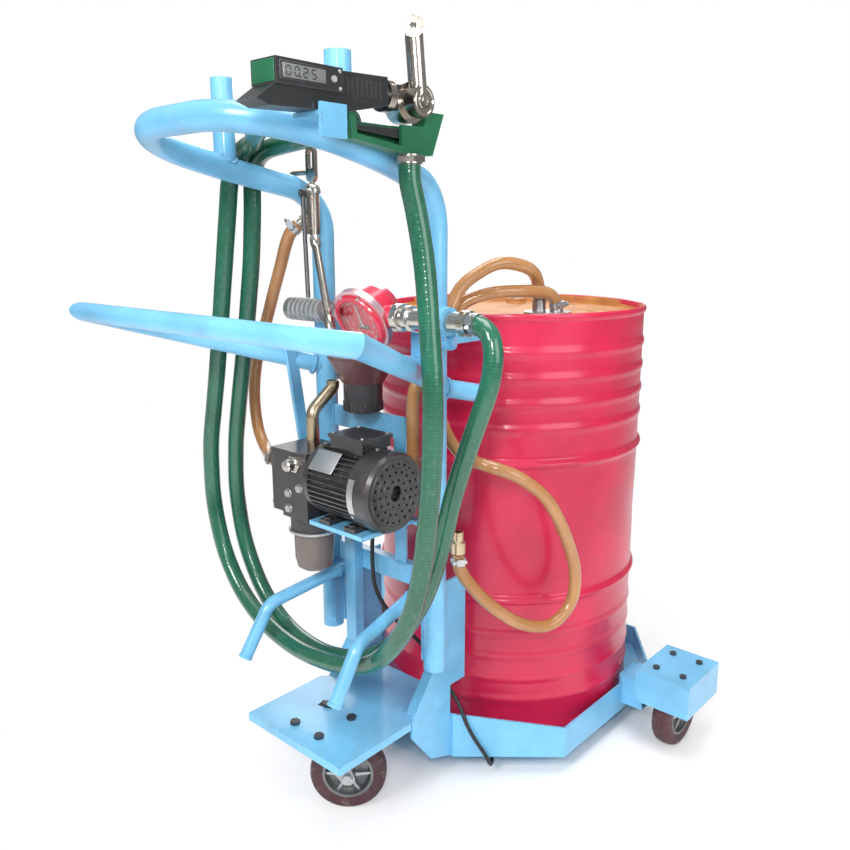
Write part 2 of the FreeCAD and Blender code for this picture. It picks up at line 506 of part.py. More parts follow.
# ---- filter, flow meter and the pipe along X ----
def meter_members():
    cx, cy, cz = METER_CENTRE
    out = (0.0, -math.cos(METER_TILT), -math.sin(METER_TILT))

    def along(distance):
        return (cx, cy + out[1] * distance, cz + out[2] * distance)

    housing = lathe([(0.0, -52.0), (20.0, -51.0), (36.0, -43.0), (47.0, -24.0), (52.0, 4.0), (56.0, 8.0),
                     (56.0, 26.0), (50.0, 30.0), (44.0, 30.0), (44.0, 18.0), (0.0, 18.0)], (cx, cy, cz), out)
    ports = rod((cx - 70, cy, cz), (cx + 70, cy, cz), 21.0)
    ports = ports.cut(rod((cx, cy, cz), along(60.0), 44.0))
    housing = housing.fuse(ports)
    ring = lathe([(56.05, 12.0), (62.0, 12.0), (62.0, 25.0), (56.05, 25.0)], (cx, cy, cz), out)
    ring = ring.cut(rod((cx - 80, cy, cz), (cx + 80, cy, cz), 21.05))
    dial = lathe([(3.05, 18.1), (43.5, 18.1), (43.5, 20.0), (3.05, 20.0)], (cx, cy, cz), out)
    glass = lathe([(0.0, 27.0), (43.9, 27.0), (43.9, 29.5), (0.0, 29.5)], (cx, cy, cz), out)
    arbor = lathe([(0.0, 18.2), (3.0, 18.2), (3.0, 23.5), (0.0, 23.5)], (cx, cy, cz), out)
    needle = [(-2.5, -10.0, 21.0), (2.5, -10.0, 21.0), (1.0, 34.0, 21.0), (-1.0, 34.0, 21.0)]
    hand = prism(needle, (0, 0, 1.6))
    hand.Placement = FreeCAD.Placement(vec((cx, cy, cz)), FreeCAD.Rotation(vec((0, 0, 1)), vec(out)))
    pointer = arbor.fuse(hand)
    ribs = [(8.0, 70.0), (12.0, 70.0), (12.0, 112.0), (22.0, 114.0)]
    for k in range(7):
        start = 118.0 + 13 * k
        ribs += [(22.0, start), (18.5, start + 2), (18.5, start + 5), (22.0, start + 7)]
    ribs += [(22.0, 216.0), (8.0, 216.0)]
    coupling = lathe(ribs, (cx, cy, cz), (-1, 0, 0))
    outlet = lathe([(12.0, 70.0), (24.0, 70.0), (24.0, 84.0), (18.0, 86.0), (18.0, 92.0), (22.0, 94.0),
                    (22.0, 104.0), (17.0, 106.0), (17.0, 215.0), (21.0, 217.0), (21.0, 232.0),
                    (12.0, 232.0)], (cx, cy, cz), (1, 0, 0))
    head = lathe([(0.0, 842.0), (40.0, 842.0), (66.0, 888.0), (66.0, 893.5), (0.0, 893.5)],
                 (*FILTER_AXIS, 0.0), (0, 0, 1))
    head = head.fuse(rod((*FILTER_AXIS, 826.0), (*FILTER_AXIS, 842.0), 30.0))
    canister = lathe([(31.0, 842.0), (37.0, 842.0), (37.0, 790.0), (33.0, 786.0), (0.0, 786.0),
                      (0.0, 790.0), (31.0, 790.0)], (*FILTER_AXIS, 0.0), (0, 0, 1))
    return {"meter_housing": housing, "meter_flange_ring": ring, "meter_dial": dial, "meter_glass": glass,
            "meter_pointer": pointer, "inlet_coupling": coupling, "outlet_pipe": outlet,
            "filter_head": head, "filter_canister": canister}


# ---- hoses and the mains lead ----
def flexible_members():
    delivery = [
        (258.4, -462, 972), (274, -462, 972), (300, -465, 960), (310, -468, 928),
        (308, -473, 880), (280, -481, 795),
        (246, -489, 690), (224, -493, 590), (188, -502, 475), (124, -522, 378), (55, -530, 335),
        (-40, -535, 315), (-150, -530, 325), (-245, -521, 375), (-308, -518, 470), (-330, -518, 590),
        (-318, -518, 710), (-294, -518, 810), (-262, -518, 940), (-236, -518, 1065), (-226, -518, 1160),
        (-223, -518, 1216), (-204, -520, 1250), (-168, -523, 1262),
        (-115, -526, 1267), (-50, -535, 1270), (40, -545, 1276),
        (105, -565, 1282), (128, -605, 1286), (105, -645, 1288), (40, -655, 1286), (-30, -640, 1282),
        (-100, -600, 1274), (-158, -559, 1270), (-206, -556, 1258), (-238, -557, 1216), (-248, -559, 1150),
        (-264, -560, 1066), (-292, -560, 930), (-323, -560, 790), (-350, -560, 690), (-352, -560, 560),
        (-315, -563, 455), (-250, -568, 385), (-160, -573, 342), (-60, -573, 326), (50, -573, 338),
        (124, -575, 366), (178, -579, 413), (228, -582, 480), (252, -577, 560), (264, -570, 680),
        (269, -567, 800), (270, -567, 880), (260, -564, 970), (246, -560, 1075), (236, -568, 1150),
        (232, -577, 1190), (232, -577, 1210.6),
    ]
    suction = [
        (168, -138, 988.4), (168, -138, 1006), (172, -156, 1034), (184, -200, 1052), (160, -262, 1066),
        (118, -320, 1022), (112, -345, 970), (108, -370, 920), (103, -398, 880), (97, -420, 845),
        (96, -425, 810), (96, -425, 690), (90, -412, 655), (66, -396, 628), (30, -388, 616),
        (-20, -388, 616), (-58, -396, 624), (-76, -416, 640), (-76, -436.6, 640),
    ]
    back = [
        (198, -122, 970.4), (198, -122, 984), (197, -146, 1002), (184, -205, 1009), (152, -264, 1009),
        (112, -300, 992), (88, -322, 955), (78, -335, 905), (76, -342, 850), (84, -346, 800),
        (108, -352, 755), (145, -360, 722), (185, -364, 710), (225, -358, 706), (262, -328, 690),
        (288, -268, 640), (303, -225, 560), (308, -192, 480), (306, -195, 410), (290, -245, 372),
        (262, -310, 392), (230, -368, 445), (200, -402, 500), (192, -410, 526), (192, -410, 545.6),
    ]
    drain = [
        (-136.6, -482.5, 1129.4), (-148, -491.7, 1118.6), (-170, -487, 1094),
        (-205, -472, 1055), (-244, -463, 1000), (-285, -458, 925),
        (-322, -458, 840), (-330, -460, 770), (-312, -466, 705), (-262, -482, 672), (-218, -510, 676),
        (-196, -523, 680), (-176.4, -523, 680),
    ]
    lead = [
        (40, -474.6, 752), (40, -460, 752), (36, -446, 745), (24, -437, 725),
        (-5, -431, 640), (-5, -431, 560), (-8, -433, 505),
        (0, -437, 440), (10, -428, 405), (22, -400, 358), (33, -368, 320), (46, -348, 294),
        (64, -341, 266), (86, -336, 238), (106, -333, 214), (124, -331, 193), (138, -332, 179),
        (150, -337, 165), (158, -336, 148), (170, -327, 118), (184, -314, 88), (191, -307, 70),
        (193, -303, 56), (188, -292, 50), (178, -276, 50), (164, -258, 58), (152, -244, 68),
    ]
    return {"delivery_hose": hose(delivery, DELIVERY_HOSE), "suction_hose": hose(suction, OIL_HOSE),
            "return_hose": hose(back, OIL_HOSE), "drain_gun_hose": hose(drain, OIL_HOSE),
            "mains_lead": hose(lead, 4.0)}


# ---- metering gun lying along the hoop ----
def side_slab(outline, x0, x1):
    return prism([(x0, y, z) for y, z in outline], (x1 - x0, 0, 0))


def gun_members():
    px, py, pz = SPOUT_PIVOT
    body = side_slab([(-862, 1268), (-842, 1262), (-720, 1266), (-640, 1282), (-640, 1319), (-725, 1316),
                       (-725, 1288), (-834, 1288)], px - 20, px + 20)
    body = body.fuse(rod((px, -641.0, 1299.0), (px, -600.0, 1299.0), 18.0))
    swivel = rod((px - 20, py, pz), (px + 8, py, pz), 28.0)
    swivel = swivel.fuse(rod((px - 26, py, pz), (px - 20, py, pz), 20.0))
    body = body.cut(rod((px - 30, py, pz), (px + 30, py, pz), 28.0))
    body = body.cut(rod((px + 8, py, pz), (px + 40, py, pz), 48.0))
    collar = tube((px, -634.0, 1299.0), (px, -622.0, 1299.0), 22.0, 3.95)
    nut = tube((px, -577.0, 1211.0), (px, -577.0, 1223.9), 19.0, 8.0)
    display = block((px - 24, -834.0, 1288.05), (px + 24, -726.0, 1318.0))
    display = display.cut(rod((px + 18, -742.0, 1303.0), (px + 25, -742.0, 1303.0), 4.1))
    button = rod((px + 20.5, -742.0, 1303.0), (px + 26.5, -742.0, 1303.0), 4.0)
    bow = [(-706, 1268.5), (-700, 1236), (-600, 1224), (-540, 1224), (-515, 1284), (-548, 1284),
           (-560, 1262), (-604, 1262), (-604, 1233), (-692, 1243), (-696, 1270.5)]
    web = [(-702, 1262), (-698, 1238), (-600, 1227), (-542, 1227), (-528, 1262)]
    guard = side_slab(bow, px - 13, px + 13).fuse(side_slab(web, px - 13, px - 9))
    pivot = (-594.0, 1250.0)
    guard = guard.cut(block((px - 6, -606.0, 1234.0), (px + 6, -582.0, 1266.0)))
    guard = guard.fuse(rod((px - 6, *pivot), (px + 6, *pivot), 3.0))
    trigger = side_slab([(-600, 1257), (-688, 1256), (-692, 1250), (-600, 1244)], px - 5, px + 5)
    trigger = trigger.fuse(rod((px - 5, *pivot), (px + 5, *pivot), 7.0))
    trigger = trigger.cut(rod((px - 6, *pivot), (px + 6, *pivot), 3.0 + RUNNING_GAP))
    spout = rod((px + 8.2, py, pz), (px + 32, py, pz), 22.0)
    spout = spout.fuse(rod((px + 21.5, py, pz), (px + 21.5, py - 10, pz + 94), 13.0))
    eye_axis = (0.68, -0.733, 0.0)
    eye = [px + 21.5 - 14 * eye_axis[0], py - 10 - 14 * eye_axis[1], pz + 94]
    far_eye = [eye[i] + 28 * eye_axis[i] for i in range(3)]
    spout = spout.fuse(rod(eye, far_eye, 14.5)).cut(rod(eye, far_eye, 5.0))
    return {"gun_body": body, "gun_chrome_fittings": Part.makeCompound([swivel, collar, nut]),
            "gun_display": display, "gun_button": button, "gun_guard": guard, "gun_trigger": trigger,
            "gun_spout": spout}


# ---- second gun, hung from the hoop by its hook ----
def oval_slab(x, y, low, high, radius, half_depth):
    ends = [rod((x, y - half_depth, z), (x, y + half_depth, z), radius) for z in (low, high)]
    middle = block((x - radius, y - half_depth, low), (x + radius, y + half_depth, high))
    return middle.fuse(ends)


def drain_gun_members():
    x, y = -115.0, -465.0
    body = rod((x, y, 1112.0), (x, y, 1200.0), 12.0)
    over_hoop = [(x, y, 1190.0), (x, y, 1222.5), (x - 69, y, 1222.5), (x - 69, y, 1180.0)]
    hook = bent_rod(over_hoop, [20.0, 20.0], 4.5)
    spout = rod((x, y, 1118.0), (-18.0, -515.0, 946.0), 7.0)
    tail = rod((x, y, 1150.0), (-136.0, -482.0, 1130.0), 8.0)
    lug = block((x - 4, -483.0, 1178.0), (x + 4, y, 1192.0))
    eye = oval_slab(x, y, 1216.0, 1256.0, 12.0, 4.0).cut(oval_slab(x, y, 1234.0, 1254.0, 6.5, 5.0))
    gun = fused(body, hook, spout, tail, lug, eye)
    low = (-85.0, -508.0, 1000.0)
    lever = rod((x, -488.0, 1185.0), low, 4.0)
    gun = gun.cut(rod((x, -495.0, 1185.0), (x, -482.0, 1185.0), 9.0))
    gun = gun.fuse(rod((x, -495.0, 1185.0), (x, -480.0, 1185.0), 3.0))
    lever = lever.fuse(rod((x, -493.0, 1185.0), (x, -484.0, 1185.0), 7.0))
    lever = lever.cut(rod((x, -500.0, 1185.0), (x, -480.0, 1185.0), 3.0 + RUNNING_GAP))
    return {"drain_gun": gun, "drain_gun_lever": lever}


# ---- casters ----
def wheel(centre, axis):
    """A cast hub and its bonded tyre, as two solids."""
    half = WHEEL_WIDTH / 2
    bore = AXLE_RADIUS + RUNNING_GAP
    hub = lathe([
        (bore, -half - 2), (14.0, -half - 2), (14.0, -7.0), (42.0, -5.0),
        (44.0, -half + 2), (49.0, -half + 2), (49.0, half - 2), (44.0, half - 2),
        (42.0, 5.0), (14.0, 7.0), (14.0, half + 2), (bore, half + 2),
    ], centre, axis)
    tyre = lathe([(49.0, -half + 2), (54.0, -half), (68.0, -half), (72.5, -half + 6), (WHEEL_RADIUS, 0.0),
                  (72.5, half - 6), (68.0, half), (54.0, half), (49.0, half - 2)], centre, axis)
    return Part.makeCompound([hub, tyre])


def fork_legs(centre_x, top, width):
    """Two cheeks, seen from the side as a taper from the crown down to the axle."""
    cheeks = []
    for side in (-1, 1):
        inner = side * (WHEEL_WIDTH / 2 + 5)
        outline = [
            (-width / 2, top), (width / 2, top), (centre_x + 15, AXLE_HEIGHT - 4),
            (centre_x + 6, AXLE_HEIGHT - 15), (centre_x - 6, AXLE_HEIGHT - 15),
            (centre_x - 15, AXLE_HEIGHT - 4),
        ]
        cheeks.append(prism([(x, inner, z) for x, z in outline], (0, side * 4.0, 0)))
    return cheeks


def caster_members():
    under = PLATE_TOP - PLATE_THICKNESS
    front_bolts, side_bolts = caster_bolt_places()
    plate = block((-46.0, CASTER_Y - 54, under - 5), (46.0, CASTER_Y + 54, under))
    for x, y, z in front_bolts:
        plate = plate.cut(rod((x, y, under - 6), (x, y, z), 5.5))
    plate = plate.fuse(rod((0, CASTER_Y, CROWN_FOOT - 5), (0, CASTER_Y, under - 2), SWIVEL_RADIUS))
    plate = plate.fuse(rod((0, CASTER_Y, CROWN_FOOT - 5.2), (0, CASTER_Y, CROWN_FOOT - 0.2), 13.0))

    crown = rod((0, 0, CROWN_FOOT + 4), (0, 0, 194.0), 31.0).cut(rod((0, 0, 190.0), (0, 0, 195.0), 27.0))
    top = block((-30.0, -29.0, CROWN_FOOT), (36.0, 29.0, CROWN_FOOT + 5))
    legs = fork_legs(CASTER_TRAIL, CROWN_FOOT + 5, 60.0)
    axle = rod((CASTER_TRAIL, -32.0, AXLE_HEIGHT), (CASTER_TRAIL, 32.0, AXLE_HEIGHT), AXLE_RADIUS)
    heads = [hexagon((CASTER_TRAIL, s * 29.0, AXLE_HEIGHT), (0, s, 0), 18.0, 7.0) for s in (-1, 1)]
    fork = fused(crown, top, *legs, axle, *heads)
    fork = fork.cut(rod((0, 0, 160.0), (0, 0, 200.0), SWIVEL_RADIUS + RUNNING_GAP))
    front_wheel = wheel((CASTER_TRAIL, 0, AXLE_HEIGHT), (0, 1, 0))
    turned = []
    for shape in (fork, front_wheel):
        shape = shape.copy()
        shape.rotate(vec((0, 0, 0)), vec((0, 0, 1)), CASTER_HEADING)
        shape.translate(vec((0, CASTER_Y, 0)))
        turned.append(shape)

    side_top = block((-45.0, -55.0, under - 5), (45.0, 55.0, under))
    for x in (-30.0, 30.0):
        for y in (-40.0, 40.0):
            side_top = side_top.cut(rod((x, y, under - 6), (x, y, under + 1), 4.5))
    side_legs = fork_legs(0.0, under - 5, 70.0)
    side_axle = rod((0, -32.0, AXLE_HEIGHT), (0, 32.0, AXLE_HEIGHT), AXLE_RADIUS)
    side_heads = [hexagon((0, s * 29.0, AXLE_HEIGHT), (0, s, 0), 18.0, 7.0) for s in (-1, 1)]
    rigid = fused(side_legs[0], side_legs[1], side_axle, *side_heads)
    rigid.rotate(vec((0, 0, 0)), vec((0, 0, 1)), 90)
    rigid = rigid.fuse(side_top)
    rigid.translate(vec((SIDE_BOX_X, SIDE_BOX_Y, 0)))
    right_wheel = wheel((SIDE_BOX_X, SIDE_BOX_Y, AXLE_HEIGHT), (1, 0, 0))
    return {
        "front_caster_plate": plate, "front_fork": turned[0], "front_wheel": turned[1],
        "side_caster_forks": pair(rigid), "right_wheel": right_wheel,
        "left_wheel": mirrored(right_wheel),
    }


nodes = {}
for group in (frame_members, base_members, drum_members, motor_members, pump_members, meter_members,
              flexible_members, gun_members, drain_gun_members, caster_members):
    nodes.update(group())

os.makedirs("parts", exist_ok=True)
for name, shape in nodes.items():
    shape.translate(vec((0, 0, -FLOOR)))
    shape.exportStep("parts/" + name + ".step")
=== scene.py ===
import math

import bmesh
import bpy
from mathutils import Matrix, Vector


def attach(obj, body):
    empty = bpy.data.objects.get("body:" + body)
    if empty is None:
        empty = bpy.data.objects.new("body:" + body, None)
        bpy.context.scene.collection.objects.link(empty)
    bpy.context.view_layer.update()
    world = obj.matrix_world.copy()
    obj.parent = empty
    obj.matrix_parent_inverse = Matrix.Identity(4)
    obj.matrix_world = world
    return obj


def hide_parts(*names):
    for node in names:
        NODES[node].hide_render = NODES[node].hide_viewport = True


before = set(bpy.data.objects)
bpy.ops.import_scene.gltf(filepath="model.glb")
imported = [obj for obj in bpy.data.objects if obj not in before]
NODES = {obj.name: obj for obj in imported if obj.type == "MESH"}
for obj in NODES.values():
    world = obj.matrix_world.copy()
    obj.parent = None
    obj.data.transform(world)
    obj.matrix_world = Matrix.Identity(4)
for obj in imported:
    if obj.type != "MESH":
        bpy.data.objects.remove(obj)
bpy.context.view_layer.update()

X_AXIS, Y_AXIS, Z_AXIS = Vector((1, 0, 0)), Vector((0, 1, 0)), Vector((0, 0, 1))
TURN = 2 * math.pi

# ---- main sizes, metres, the same as the CAD's ----
# Heights here start FLOOR under the ground, as in the CAD's source; piece() and flat_digit() lower them.
FLOOR = 0.028
DRUM_RADIUS = 0.286
DRUM_BASE = 0.086
DRUM_TOP = 0.966
POST_X = 0.143
POST_Y = -0.418
PLATE_TOP = 0.2062
HOOP_TUBE = 0.0212
HOOP_HEIGHT = 1.185
HOOP_SLOPE = 0.22
HOOK_TUBE = 0.0130
HANDLE_TUBE = 0.0172
STUB_TUBE = 0.0195
MOTOR_Y = -0.515
MOTOR_Z = 0.675
MOTOR_MIDDLE = Vector((0, MOTOR_Y, MOTOR_Z))
LEAD_INLET = Vector((0.040, -0.4750, 0.752))
PUMP_FRONT = MOTOR_Y - 0.050
BOWL_X = -0.082
METER_CENTRE = Vector((0.026, -0.462, 0.972))
METER_TILT = math.radians(28.0)
METER_OUT = Vector((0.0, -math.cos(METER_TILT), -math.sin(METER_TILT)))
DIAL_LIFT = 0.0203
FILTER_AXIS = Vector((-0.025, -0.432, 0))
GUN_SIDE = 0.256
DRAIN_GUN = Vector((-0.115, -0.465, 0))
WHEEL_RADIUS = 0.074
AXLE_HEIGHT = FLOOR + WHEEL_RADIUS
SIDE_CASTER = (0.413, 0.0685)
CASTER_Y = -0.577
CASTER_TRAIL = 0.046
CASTER_HEADING = math.radians(42.0)


# ---- materials ----
class Shader:
    """A small helper that adds nodes to one material or world and links or sets their inputs."""

    def __init__(self, name, kept_in=bpy.data.materials):
        self.owner = kept_in.new(name)
        self.owner.use_nodes = True
        self.tree = self.owner.node_tree
        self.tree.nodes.clear()
        self.place = self.add("TexCoord").outputs["Object"]

    def add(self, kind, props=None, **inputs):
        """Adds a node. An input goes by its name, with _ for a space, or as i and its number."""
        node = self.tree.nodes.new("ShaderNode" + kind)
        for key, value in (props or {}).items():
            setattr(node, key, value)
        for key, value in inputs.items():
            socket = node.inputs[int(key[1:]) if key[1:].isdigit() else key.replace("_", " ")]
            if isinstance(value, bpy.types.NodeSocket):
                self.tree.links.new(value, socket)
            elif socket.type == "RGBA":
                socket.default_value = (*value[:3], 1.0)
            else:
                socket.default_value = value
        return node

    def noise(self, scale, detail=4.0, rough=0.55, where=None, warp=0.0):
        node = self.add("TexNoise", Scale=scale, Detail=detail, Roughness=rough, Distortion=warp,
                        Vector=where or self.place)
        return node.outputs["Fac"]

    def stretched(self, scales):
        return self.add("Mapping", Vector=self.place, Scale=scales).outputs["Vector"]

    def ramp(self, value, low, high):
        """0 at low, 1 at high."""
        return self.add("MapRange", Value=value, From_Min=low, From_Max=high).outputs["Result"]

    def span(self, value, low, high):
        """low where the value is 0, high where it is 1."""
        return self.add("MapRange", Value=value, To_Min=low, To_Max=high).outputs["Result"]

    def calc(self, kind, a, b=0.0):
        return self.add("Math", {"operation": kind}, i0=a, i1=b).outputs[0]

    def times(self, a, b):
        return self.calc("MULTIPLY", a, b)

    def plus(self, a, b):
        return self.calc("ADD", a, b)

    def patches(self, field, low, high, amount):
        return self.times(self.ramp(field, low, high), amount)

    def mix(self, fac, a, b):
        return self.add("MixRGB", i0=fac, i1=a, i2=b).outputs[0]

    def bump(self, height, strength, distance, normal=None):
        under = {} if normal is None else {"Normal": normal}
        node = self.add("Bump", Height=height, Strength=strength, Distance=distance, **under)
        return node.outputs["Normal"]

    def edges(self, radius):
        """0 on flat faces, towards 1 within radius of a sharp edge."""
        bevel = self.add("Bevel", {"samples": 4}, Radius=radius).outputs["Normal"]
        normal = self.add("NewGeometry").outputs["Normal"]
        dot = self.add("VectorMath", {"operation": "DOT_PRODUCT"}, i0=bevel, i1=normal).outputs["Value"]
        return self.ramp(dot, 0.985, 0.86)

    def uv_parts(self):
        return self.add("SeparateXYZ", Vector=self.add("TexCoord").outputs["UV"]).outputs

    def finish(self, colour, rough, metal=0.0, **extra):
        node = self.add("BsdfPrincipled", Base_Color=colour, Roughness=rough, Metallic=metal, **extra)
        self.add("OutputMaterial", Surface=node.outputs[0])
        return self.owner


def tinted(colour, by, lift=0.0):
    return [min(1.0, c * by + lift) for c in colour]


def painted(name, colour, under, rough=0.32, worn=0.5, grime=0.35, coat=0.3):
    """Brushed-on or sprayed paint: cloudy tone, orange peel, worn edges, scratches and settled grime."""
    s = Shader(name)
    cloudy = s.noise(6.0, 5.0)
    dark = tinted(colour, 0.80)
    tone = s.mix(s.ramp(cloudy, 0.34, 0.66), dark, tinted(colour, 1.14, 0.006))
    fine = s.noise(190.0, 3.0)
    tone = s.mix(s.patches(fine, 0.45, 0.62, 0.25), tone, dark)
    scratches = s.ramp(s.noise(9.0, 6.0, 0.7, where=s.stretched((14.0, 9.0, 1.6)), warp=0.6), 0.71, 0.735)
    chips = s.times(s.edges(0.0022), s.ramp(s.noise(75.0, 5.0), 0.58 - 0.1 * worn, 0.66 - 0.1 * worn))
    bare = s.calc("MAXIMUM", chips, s.times(scratches, 0.55 * worn))
    tone = s.mix(bare, tone, under)
    tone = s.mix(s.patches(s.noise(13.0, 7.0, 0.65), 0.55, 0.80, grime), tone, (0.16, 0.13, 0.11))
    roughness = s.plus(s.span(cloudy, rough - 0.08, rough + 0.10), s.times(bare, 0.3))
    normal = s.bump(bare, 0.25, -0.0005, s.bump(fine, 0.10, 0.0006))
    return s.finish(tone, roughness, Normal=normal, Coat_Weight=coat, Coat_Roughness=0.12)


def metal(name, colour, rough=0.28, grain=(1.0, 1.0, 1.0), tarnish_and_reflection=(0.25, 0.22, 0.18), dirt_and_reflection=0.3):
    s = Shader(name)
    cloudy = s.noise(14.0, 5.0)
    brush = s.noise(120.0, 3.0, 0.6, where=s.stretched(grain))
    tone = s.mix(s.ramp(cloudy, 0.35, 0.7), colour, tinted(colour, 0.78))
    # Patches of tarnish and dirt; on the chrome and the pink flange ring these patches also carry painted
    # reflection.
    tone = s.mix(s.patches(s.noise(38.0, 6.0, 0.7), 0.52, 0.74, dirt_and_reflection), tone, tarnish_and_reflection)
    tone = s.mix(s.times(s.edges(0.0012), 0.6), tone, tinted(colour, 1.35))
    roughness = s.plus(s.span(cloudy, rough * 0.75, rough * 1.3), s.times(brush, 0.08))
    return s.finish(tone, roughness, 1.0, Normal=s.bump(brush, 0.12, 0.0004))


def plastic(name, colour, rough=0.4, texture=420.0, scuff=(0.35, 0.35, 0.35), wear=0.4):
    s = Shader(name)
    cloudy = s.noise(11.0, 5.0)
    tone = s.mix(s.ramp(cloudy, 0.3, 0.7), tinted(colour, 0.85), tinted(colour, 1.18, 0.004))
    marks = s.ramp(s.noise(17.0, 6.0, 0.7, where=s.stretched((1.0, 5.0, 9.0)), warp=0.8), 0.64, 0.72)
    rubbed = s.times(s.calc("MAXIMUM", s.times(s.edges(0.0015), 0.8), marks), wear)
    tone = s.mix(rubbed, tone, scuff)
    roughness = s.plus(s.span(cloudy, rough - 0.07, rough + 0.1), s.times(rubbed, 0.15))
    return s.finish(tone, roughness, Normal=s.bump(s.noise(texture, 3.0), 0.12, 0.0004))


def glassy(name, colour, rough, transmission):
    s = Shader(name)
    film = s.noise(24.0, 5.0, 0.6)
    tone = s.mix(s.patches(film, 0.45, 0.75, 0.15), colour, tinted(colour, 0.6))
    return s.finish(tone, s.span(film, rough, rough + 0.12), Normal=s.bump(film, 0.05, 0.0008),
                    Transmission_Weight=transmission, IOR=1.45, Specular_IOR_Level=0.6)


def lcd_material():
    s = Shader("lcd")
    haze = s.noise(60.0, 3.0)
    tone = s.mix(s.ramp(haze, 0.3, 0.7), (0.150, 0.160, 0.150), (0.205, 0.215, 0.200))
    return s.finish(tone, 0.18, Normal=s.bump(haze, 0.03, 0.0003), Coat_Weight=0.6)


def drum_head_material():
    """The drum's top, varnished orange-brown with a film of spilt oil."""
    s = Shader("drum_head_paint")
    pools = s.noise(7.0, 6.0, 0.6, warp=0.5)
    tone = s.mix(s.ramp(pools, 0.38, 0.62), (0.40, 0.16, 0.050), (0.58, 0.27, 0.095))
    tone = s.mix(s.patches(s.noise(28.0, 7.0, 0.7), 0.56, 0.72, 0.7), tone, (0.12, 0.06, 0.03))
    tone = s.mix(s.ramp(s.noise(55.0, 6.0, 0.7), 0.66, 0.74), tone, (0.20, 0.07, 0.03))
    normal = s.bump(pools, 0.2, 0.001)
    return s.finish(tone, s.span(pools, 0.42, 0.62), Normal=normal, Specular_IOR_Level=0.25)


def braided_hose_material():
    """Takes the hose's UVs: turns round it and metres along it."""
    s = Shader("green_braided_hose")
    around, along, _ = s.uv_parts()

    def helix(turns, pitch):
        phase = s.plus(s.times(around, TURN * turns), s.times(along, TURN / pitch))
        return s.plus(s.times(s.calc("SINE", phase), 0.5), 0.5)

    braid = s.times(helix(6.0, 0.030), helix(-6.0, 0.030))
    coil = helix(1.0, 0.0052)
    cloudy = s.noise(9.0, 5.0)
    tone = s.mix(s.ramp(cloudy, 0.3, 0.7), (0.008, 0.082, 0.044), (0.018, 0.135, 0.076))
    tone = s.mix(s.patches(braid, 0.5, 0.85, 0.16), tone, (0.05, 0.23, 0.15))
    tone = s.mix(s.patches(coil, 0.72, 0.98, 0.10), tone, (0.09, 0.30, 0.21))
    tone = s.mix(s.patches(s.noise(30.0, 6.0, 0.7), 0.6, 0.75, 0.4), tone, (0.14, 0.17, 0.12))
    normal = s.bump(s.plus(coil, s.times(braid, 0.5)), 0.12, 0.0005)
    return s.finish(tone, s.span(cloudy, 0.13, 0.26), Normal=normal, Coat_Weight=0.45, Coat_Roughness=0.08)


def oil_hose_material():
    s = Shader("amber_oil_hose")
    waves = s.noise(10.0, 4.0)
    tone = s.mix(s.ramp(waves, 0.35, 0.65), (0.66, 0.34, 0.12), (0.80, 0.48, 0.22))
    lines = s.calc("SINE", s.times(s.uv_parts()[1], TURN / 0.0045))
    tone = s.mix(s.patches(lines, 0.6, 1.0, 0.16), tone, (0.90, 0.72, 0.48))
    return s.finish(tone, s.span(waves, 0.10, 0.22), Normal=s.bump(lines, 0.12, 0.0004),
                    Transmission_Weight=0.55, IOR=1.42, Coat_Weight=0.5, Coat_Roughness=0.06)


def oil_core_material():
    s = Shader("oil_core")
    cloud = s.noise(16.0, 4.0)
    tone = s.mix(s.ramp(cloud, 0.35, 0.65), (0.60, 0.25, 0.070), (0.78, 0.40, 0.15))
    return s.finish(tone, 0.3, Normal=s.bump(cloud, 0.1, 0.001))


def tyre_material():
    s = Shader("maroon_tyre")
    cloudy = s.noise(20.0, 5.0)
    tone = s.mix(s.ramp(cloudy, 0.35, 0.65), (0.040, 0.013, 0.018), (0.080, 0.026, 0.032))
    tone = s.mix(s.patches(s.noise(60.0, 7.0, 0.75), 0.52, 0.68, 0.6), tone, (0.22, 0.18, 0.16))
    return s.finish(tone, s.span(cloudy, 0.42, 0.62), Normal=s.bump(s.noise(500.0, 2.0), 0.2, 0.0004))


blue_paint = painted("blue_paint", (0.170, 0.500, 0.780), (0.10, 0.16, 0.22), 0.30, 0.45, 0.30)
weld_paint = painted("weld_paint", (0.14, 0.43, 0.70), (0.10, 0.14, 0.18), 0.38, 0.3, 0.6)
red_paint = painted("drum_paint", (0.61, 0.006, 0.058), (0.20, 0.10, 0.09), 0.34, 0.25, 0.14)
meter_paint = painted("meter_paint", (0.60, 0.012, 0.05), (0.30, 0.12, 0.10), 0.25, 0.7, coat=0.5)
black_paint = painted("black_paint", (0.034, 0.031, 0.032), (0.16, 0.16, 0.16), 0.34, 0.6, coat=0.35)
pump_paint = painted("pump_paint", (0.032, 0.029, 0.031), (0.18, 0.16, 0.14), 0.42, 0.7, 0.7, coat=0.2)
